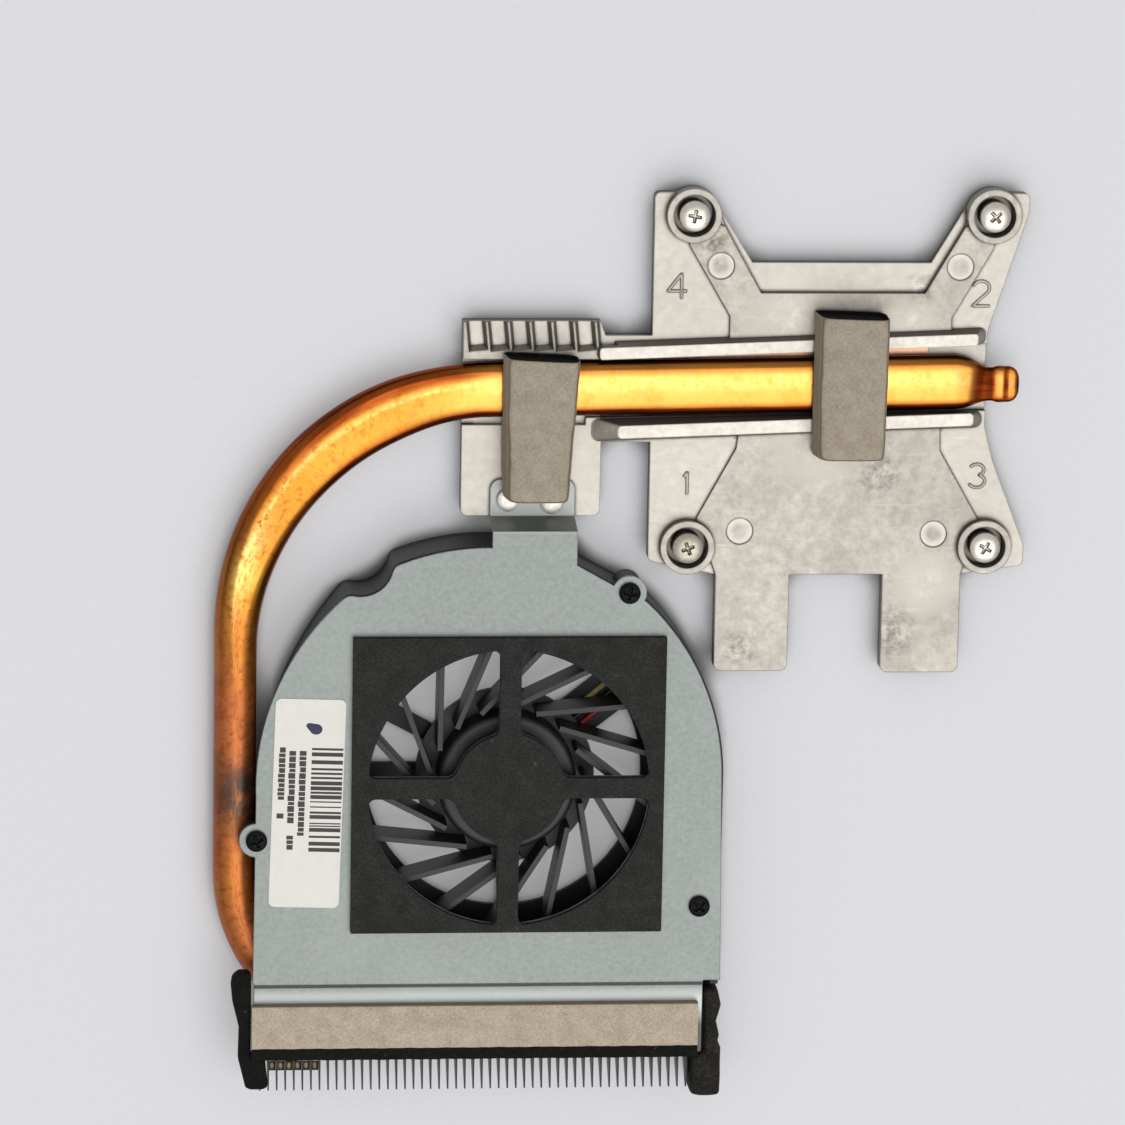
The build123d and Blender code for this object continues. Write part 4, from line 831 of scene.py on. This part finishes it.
def screw_grid(x, y, top, head, rim, under, shank, tip, cross, turn, groove=None):
    """Spun profile: a dome from the middle to the head's edge, its rim, underside and shank.
    The cross recess (reach, half width, depth) lowers the dome by a smooth step of
    min(|across|, |along|) below its half width, and the thread adds a sine of
    (height / pitch - angle / full turn) to the shank's radius. A groove (low, high, radii) narrows it."""
    a = np.linspace(0, 2 * np.pi, AROUND, endpoint=False)
    dome_r = np.linspace(0.02, 1, DOME_N) * head
    dome_z = top - rim * 0.55 * (dome_r / head) ** 2.6
    shank_z = np.linspace(under, tip + 0.15, SHANK_N)
    r = [dome_r, [head, head, head * 0.97, shank], np.full(SHANK_N, shank), [shank - 0.2, 0.05]]
    z = [dome_z, [dome_z[-1] - 0.12, under + 0.1, under, under], shank_z, [tip, tip]]
    radius = np.repeat(np.concatenate(r)[:, None], AROUND, axis=1)
    level = np.repeat(np.concatenate(z)[:, None], AROUND, axis=1)
    threaded = slice(DOME_N + 4, DOME_N + 4 + SHANK_N)
    thread = THREAD * np.sin(2 * np.pi * (shank_z[:, None] / PITCH) - a[None, :])
    low_part = np.clip((under - 1.0 - shank_z) / 0.3, 0, 1)[:, None]
    radius[threaded] += (thread - THREAD) * low_part
    if groove:
        low, high, radii = groove
        neck = np.interp(shank_z, [low - 0.2, low, low + 0.01, high, high + 0.01], radii)
        radius[threaded] = np.minimum(radius[threaded], neck[:, None])
    px = dome_r[:, None] * np.cos(a - turn)
    py = dome_r[:, None] * np.sin(a - turn)
    slim = np.minimum(np.abs(px), np.abs(py))
    reach = np.maximum(np.abs(px), np.abs(py))
    inside = np.clip((cross[1] - slim) / 0.07 + 0.5, 0, 1) * np.clip((cross[0] - reach) / 0.12 + 0.5, 0, 1)
    level[:DOME_N] -= inside * (cross[2] - 0.25 * reach)
    return np.stack([x + radius * np.cos(a), y + radius * np.sin(a), level], axis=-1)


# %% Spring screws and cover screws
SCREWS = {1: (-22.6, -25.2), 2: (22.6, 25.2), 3: (22.6, -25.2), 4: (-22.6, 25.2)}
MOUNT = {"top": 7.2, "head": 2.3, "rim": 0.75, "under": 5.72, "shank": 1.25, "tip": 0.4}
MOUNT |= {"cross": (0.95, 0.2, 0.5), "groove": (2.05, 2.35, [1.25, 1.05, 0.95, 0.95, 1.1])}
for n, (x, y) in SCREWS.items():
    plate = worn_nickel if n == 1 else nickel
    grid = screw_grid(x, y, turn=0.35 * n, **MOUNT)
    screw = grid_piece(f"spring_screw_{n}", grid, [plate], f"screw_{n}", sharp=35)
    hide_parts(f"mount_screw_{n}")

COVER_SCREWS = [(-87.3, -69.0, 9.0), (-31.7, -31.1, 6.4), (-20.2, -79.6, 6.4)]
COVER = {"top": 11.8, "head": 1.6, "rim": 0.45, "under": 11.02, "shank": 0.75, "cross": (0.95, 0.19, 0.5)}
for n, (x, y, tip) in enumerate(COVER_SCREWS):
    grid = screw_grid(x, y, tip=tip, turn=0.35 + n, **COVER)
    screw = grid_piece(f"cover_screw_{n + 1}", grid, [black_oxide], "frame", sharp=35)
    if n == 0:
        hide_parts("cover_screws")

# %% [markdown]
# A coil spring sits in each bore around the screw. It is a circle carried along a helix. When a
# screw is pressed down its spring shortens.


# %% Wire along a path, and the four springs
def wire(path, radius, sides=12, flat=1.0):
    """A circle carried along a path: the path's point plus r cos a sideways and r sin a upwards,
    where sideways is level and square to the path. flat scales the upward part."""
    ahead = np.gradient(path, axis=0)
    ahead /= np.linalg.norm(ahead, axis=1, keepdims=True)
    side = np.cross(ahead, [0, 0, 1.0])
    side /= np.linalg.norm(side, axis=1, keepdims=True)
    up = np.cross(side, ahead)
    a = np.linspace(0, 2 * np.pi, sides, endpoint=False)[None, :, None]
    return path[:, None, :] + radius * (np.cos(a) * side[:, None, :] + flat * np.sin(a) * up[:, None, :])


COIL_R, COIL_WIRE, COIL_TURNS = 2.0, 0.225, 4.5
COIL_LOW, COIL_RISE = 3.03, 2.42
spring_wire = finish("spring_wire", "#A39E95", 1.0, 0.3)
for n, (x, y) in SCREWS.items():
    t = np.linspace(0, 2 * np.pi * COIL_TURNS, 200)
    climb = COIL_LOW + COIL_RISE * t / t[-1]
    helix = np.stack([x + COIL_R * np.cos(t), y + COIL_R * np.sin(t), climb], axis=1)
    coil = wire(helix, COIL_WIRE, 10)
    spring = grid_piece(f"coil_spring_{n}", coil, [spring_wire], "frame")
    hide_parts(f"screw_spring_{n}")
    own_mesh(spring)

# %% [markdown]
# The order in which to tighten the screws is cast beside each boss as a raised number. Each one is
# a single stroke, drawn in a unit box, given its size in millimetres and half sunk in the plate.

# %% Raised numbers on the casting
PAD_TOP, STROKE_R, STROKE_N = 4.7, 0.26, 60


def bow(middle, reach, first, last, count):
    """Points on an ellipse: the middle plus the reach times (cos a, sin a) between two angles."""
    a = np.radians(np.linspace(first, last, count))
    return np.stack([middle[0] + reach[0] * np.cos(a), middle[1] + reach[1] * np.sin(a)], axis=1)


one = np.array([[0.15, 0.78], [0.55, 1.0], [0.55, 0.0]])
two = np.concatenate([bow((0.5, 0.72), (0.46, 0.28), 165, -40, 16), [[0.02, 0.0], [1.0, 0.0]]])
upper = bow((0.46, 0.76), (0.42, 0.24), 155, -80, 14)
lower = bow((0.46, 0.27), (0.48, 0.27), 80, -155, 16)
four = np.array([[0.72, 0.0], [0.72, 1.0], [0.0, 0.3], [1.0, 0.3]])
strokes = {
    "1": (one, (-23.4, -17.3), (1.3, 3.4)),
    "2": (two, (19.75, 11.45), (2.7, 3.8)),
    "3": (np.concatenate([upper, lower]), (20.1, -16.3), (2.6, 3.6)),
    "4": (four, (-26.23, 12.48), (2.9, 3.8)),
}
for digit, (shape, corner, size) in strokes.items():
    reached = np.concatenate([[0], np.cumsum(np.linalg.norm(np.diff(shape * size, axis=0), axis=1))])
    s = np.linspace(0, reached[-1], STROKE_N)
    path = np.stack([np.interp(s, reached, shape[:, 0]), np.interp(s, reached, shape[:, 1])], axis=1)
    path = np.concatenate([path * size + corner, np.full((STROKE_N, 1), PAD_TOP)], axis=1)
    grid_piece(f"cast_number_{digit}", wire(path, STROKE_R, 10, 0.75), [cast], "frame")

# %% [markdown]
# Two studs of the casting are pressed over the fan's flange like rivets. Staking leaves a bright
# low dome: a half ellipse spun about the stud.

# %% Staked heads
STUDS = [(-49.7, -18.0), (-43.1, -18.4)]
STUD_R, STUD_LOW, STUD_RISE = 1.72, 5.55, 0.32
staked = finish("staked_aluminium", "#DEDAD2", 1.0, 0.42)
circle = np.linspace(0, 2 * np.pi, 40, endpoint=False)
q = np.linspace(0.02, np.pi / 2, 12)
for n, (x, y) in enumerate(STUDS):
    r = STUD_R * np.sin(q)[:, None] * (1 + 0.03 * np.sin(3 * circle + n))
    z = STUD_LOW + STUD_RISE * np.cos(q)[:, None] + 0 * circle
    dome = np.stack([x + r * np.cos(circle), y + r * np.sin(circle), z], axis=-1)
    grid_piece(f"staked_head_{n + 1}", dome, [staked], "frame")

# %% [markdown]
# Three thin leads run from the motor's board along a strut to the housing wall: red, black and
# yellow. They are plain wires a little above the strut, with a slight wave.

# %% Motor leads
LEAD_ANGLE = math.radians(38)
LEAD_FROM, LEAD_TO, LEAD_N = 9.8, 32.7, 50
LEAD_GAP, LEAD_Z, LEAD_R = 1.3, 1.47, 0.44
ahead = np.array([math.cos(LEAD_ANGLE), math.sin(LEAD_ANGLE)])
aside = np.array([-ahead[1], ahead[0]])
out = np.linspace(LEAD_FROM, LEAD_TO, LEAD_N)
for n, (name, colour) in enumerate([("red", "#A11D1F"), ("black", "#151515"), ("yellow", "#C9B46A")]):
    lead_skin = finish(f"{name}_vinyl_insulation", colour, 0.0, 0.4)
    drift = -LEAD_GAP + LEAD_GAP * n + 0.12 * np.sin(out * 0.5 + 2 * n)
    plan = FAN + out[:, None] * ahead + drift[:, None] * aside
    path = np.concatenate([plan, np.full((LEAD_N, 1), LEAD_Z)], axis=1)
    lead = grid_piece(f"{name}_motor_lead", wire(path, LEAD_R), [lead_skin], "frame")
    if n == 0:
        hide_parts("motor_leads")

# %% [markdown]
# The label is coated paper. It carries only plain shapes: a block of bars, three rows of small
# blocks that stand for print, and the blue dot of an inspector's pen. Each mark is a flat patch
# just above the paper, and seeded random widths set the bars and blocks.

# %% Label paper and inks
LABEL_X, LABEL_Y, INK_Z = -79.7, -63.3, 11.135
LABEL_TURN = math.radians(-1.6)
paint(finish("coated_label_paper", "#F2EEE7", 0.0, 0.45, grain=1.5, swing=0.04), "label")
black_ink = finish("black_print", "#33322F", 0.0, 0.5, grain=0.4)
blue_ink = finish("blue_pen_ink", "#120E4A", 0.0, 0.45, grain=0.4)


def on_label(u, v):
    """Label millimetres, from its middle, to the part's frame: the label is turned by -1.6 deg."""
    x = LABEL_X + u * math.cos(LABEL_TURN) - v * math.sin(LABEL_TURN)
    y = LABEL_Y + u * math.sin(LABEL_TURN) + v * math.cos(LABEL_TURN)
    return np.stack([x, y, np.full_like(x, INK_Z)], axis=-1)


# %% Plain marks on the label
BAR_WIDTHS, BARS_LENGTH, BARS_FROM, BARS_U = [0.2, 0.34, 0.6], 16.3, -7.4, (0.4, 5.1)
BLOCK_LONG, BLOCK_GAP, BLOCK_LOW, BLOCK_HIGH = (0.5, 0.95), 0.13, (0.36, 0.55), 0.5
PRINT_ROWS = [(-0.9, -5.1, 8.9), (-2.47, -7.3, -4.9), (-2.47, -3.2, 9.0)]
PRINT_ROWS += [(-4.03, -2.5, -1.3), (-4.03, 0.4, 9.1)]
rng = np.random.default_rng(7)
steps = rng.choice(BAR_WIDTHS, 64)
edges = np.concatenate([[0], np.cumsum(steps)])
edges = edges[edges < BARS_LENGTH]
count = len(edges) // 2
v0, v1 = edges[0 : 2 * count : 2] + BARS_FROM, edges[1 : 2 * count : 2] + BARS_FROM
u0, u1 = np.full(count, BARS_U[0]), np.full(count, BARS_U[1])
for row, start_v, stop_v in PRINT_ROWS:
    block = rng.uniform(*BLOCK_LONG, 30)
    ends = start_v + np.cumsum(block + BLOCK_GAP)
    ends, block = ends[ends < stop_v], block[ends < stop_v]
    depth = rng.uniform(*BLOCK_LOW, len(ends))
    u0, u1 = np.concatenate([u0, row - depth]), np.concatenate([u1, row + BLOCK_HIGH + 0 * depth])
    v0, v1 = np.concatenate([v0, ends - block]), np.concatenate([v1, ends])
corners = on_label(np.stack([u0, u1, u1, u0], axis=1), np.stack([v0, v0, v1, v1], axis=1))
patches = np.arange(len(u0) * 4).reshape(-1, 4).tolist()
mesh = bpy.data.meshes.new("label_marks")
mesh.from_pydata((corners.reshape(-1, 3) * MM).tolist(), [], patches)
mesh.materials.append(black_ink)
marks = placed("label_marks", mesh)
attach(marks, "frame")
print("label bars:", count, "and blocks:", len(u0) - count)

# %% Pen dot, a disc with one drawn-out side
DOT_U, DOT_V, DOT_ALONG, DOT_ACROSS = 0.9, 11.5, 0.95, 0.82
TAIL, TAIL_TURN = 0.77, 2.6
dot_r = np.linspace(0.02, 1, 6)[:, None]
dot_r = dot_r * (1 + TAIL * np.exp(-(((circle - TAIL_TURN) / 0.5) ** 2)))
dot = on_label(DOT_U + DOT_ALONG * dot_r * np.cos(circle), DOT_V + DOT_ACROSS * dot_r * np.sin(circle))
grid_piece("pen_dot", dot, [blue_ink], "frame", caps=False)

# %% [markdown]
# The cooler lies on pale grey paper. The paper is given a faint glow, painted light that keeps it
# bright and even and lifts shadows on it, and two occlusion readings take that glow away: one under
# the solids, and a wider one that draws a painted dark contact shadow at their foot. The fan's
# intake, through which the bright paper shows, is left out of the second.

# %% Paper floor
FLOOR_HALF = 1.5
FAN_CLEAR = (25.0, 27.0)
sheet, tree = start("pale_grey_paper")
place = add(tree, "TexCoord", out="Object")
fibre = add(tree, "TexNoise", {"Vector": place, "Scale": per_mm(0.8), "Detail": 4.0})
tone = add(tree, "Mix", {0: fibre, 6: hex_linear("#C3C3C6"), 7: hex_linear("#CBCBCE")}, 2, data_type="RGBA")
open_sky = add(tree, "AmbientOcclusion", {"Distance": 2.5 * MM}, "AO", samples=12)
# Painted light: the paper's glow.
glow = add(tree, "MapRange", {"Value": open_sky, "From Min": 0.3, "From Max": 0.85, "To Max": 0.255})
under = add(tree, "AmbientOcclusion", {"Distance": 4.5 * MM}, "AO", samples=12)
contact = add(tree, "MapRange", {"Value": under, "From Min": 0.76, "From Max": 0.48, "To Max": 0.9})
fan_middle = (FAN[0] * MM, FAN[1] * MM, 0.0)
hub = add(tree, "VectorMath", {0: place, 1: fan_middle}, "Value", operation="DISTANCE")
outside = {"Value": hub, "From Min": FAN_CLEAR[0] * MM, "From Max": FAN_CLEAR[1] * MM}
contact = add(tree, "Math", {0: contact, 1: add(tree, "MapRange", outside)}, operation="MULTIPLY")
# Painted shadow: the contact shadow mixes the paper towards near black.
tone = add(tree, "Mix", {0: contact, 6: tone, 7: hex_linear("#3C3A38")}, 2, data_type="RGBA")
lit = add(tree, "MapRange", {"Value": contact, "To Min": 1.0, "To Max": 0.0})
glow = add(tree, "Math", {0: glow, 1: lit}, operation="MULTIPLY")
surface = {"Base Color": tone, "Roughness": 0.85, "Specular IOR Level": 0.2}
surface |= {"Emission Color": hex_linear("#F4F4F6"), "Emission Strength": glow}
add(tree, "OutputMaterial", {"Surface": add(tree, "BsdfPrincipled", surface)})
square = [(-1, -1), (1, -1), (1, 1), (-1, 1)]
floor_mesh = bpy.data.meshes.new("paper_floor")
floor_mesh.from_pydata([(FLOOR_HALF * x, FLOOR_HALF * y, 0) for x, y in square], [], [(0, 1, 2, 3)])
floor_mesh.materials.append(sheet)
floor = placed("paper_floor", floor_mesh)
print("floor:", 2 * FLOOR_HALF, "m wide")

# %% [markdown]
# A large soft lamp stands a little to the south-east, so short soft shadows fall north-west. It
# also stands where level metal mirrors it, which lights the pipe's flat top. The sky fills the
# shadows; it is darker near the horizon, as a room is, so round metal falls off to dark at its sides.


# %% Soft lamp
def turned_to(back, hint):
    """Axes of a lamp or a camera that looks along -back: right is hint x back, up is back x right."""
    right = np.cross(hint, back)
    right /= np.linalg.norm(right)
    return Matrix(np.stack([right, np.cross(back, right), back], axis=1)).to_4x4()


LAMP_SIDE, LAMP_WATTS = 1.5, 12.5
lamp_place, lamp_aim = np.array([0.24, -0.54, 1.6]), np.array([-0.041, -0.028, 0.0])
lamp_data = bpy.data.lights.new("soft_lamp", "AREA")
lamp_data.shape = "SQUARE"
lamp_data.size = LAMP_SIDE
lamp_data.energy = LAMP_WATTS
lamp = placed("soft_lamp", lamp_data)
back = (lamp_place - lamp_aim) / np.linalg.norm(lamp_place - lamp_aim)
lamp.matrix_world = Matrix.Translation(lamp_place) @ turned_to(back, [0, 1.0, 0])
print("lamp:", LAMP_WATTS, "W,", LAMP_SIDE, "m wide")

# %% Sky
sky = bpy.data.worlds.new("even_sky")
sky.use_nodes = True
tree = sky.node_tree
tree.nodes.clear()
rise = add(tree, "SeparateXYZ", {"Vector": add(tree, "TexCoord", out="Generated")}, "Z")
rise = add(tree, "MapRange", {"Value": rise, "From Min": 0.1, "From Max": 0.8})
glow = add(tree, "Mix", {0: rise, 6: hex_linear("#6C6A68"), 7: hex_linear("#FFFFFF")}, 2, data_type="RGBA")
add(tree, "OutputWorld", {"Surface": add(tree, "Background", {"Color": glow, "Strength": 0.68})})
bpy.context.scene.world = sky
bpy.context.scene.view_settings.view_transform = "Standard"
print("sky:", sky.name)

# %% [markdown]
# The picture was taken from almost straight above with a long lens, tilted 13 degrees towards the
# north-north-west, and the frame is a square. The camera's three axes follow from that tilt.

# %% Camera
CAMERA_AWAY, LENS_MM, SENSOR_MM = 0.9, 191.5, 36.0
TILT, ROLL = math.radians(13.0), math.radians(1.0)
LEAN_X, LEAN_Y = -0.42, 0.9075
camera_data = bpy.data.cameras.new("long_lens")
camera_data.lens = LENS_MM
camera_data.sensor_width = SENSOR_MM
camera_data.clip_end = 20.0
camera = placed("long_lens", camera_data)
target = np.array([-41.31, -27.69, 5.0]) * MM
back = np.array([LEAN_X * math.sin(TILT), LEAN_Y * math.sin(TILT), math.cos(TILT)])
back /= np.linalg.norm(back)
axes = turned_to(back, [-math.sin(ROLL), math.cos(ROLL), 0.0])
camera.matrix_world = Matrix.Translation(target + CAMERA_AWAY * back) @ axes
bpy.context.scene.camera = camera
print("camera looks from", (target + CAMERA_AWAY * back).round(3))

# %% [markdown]
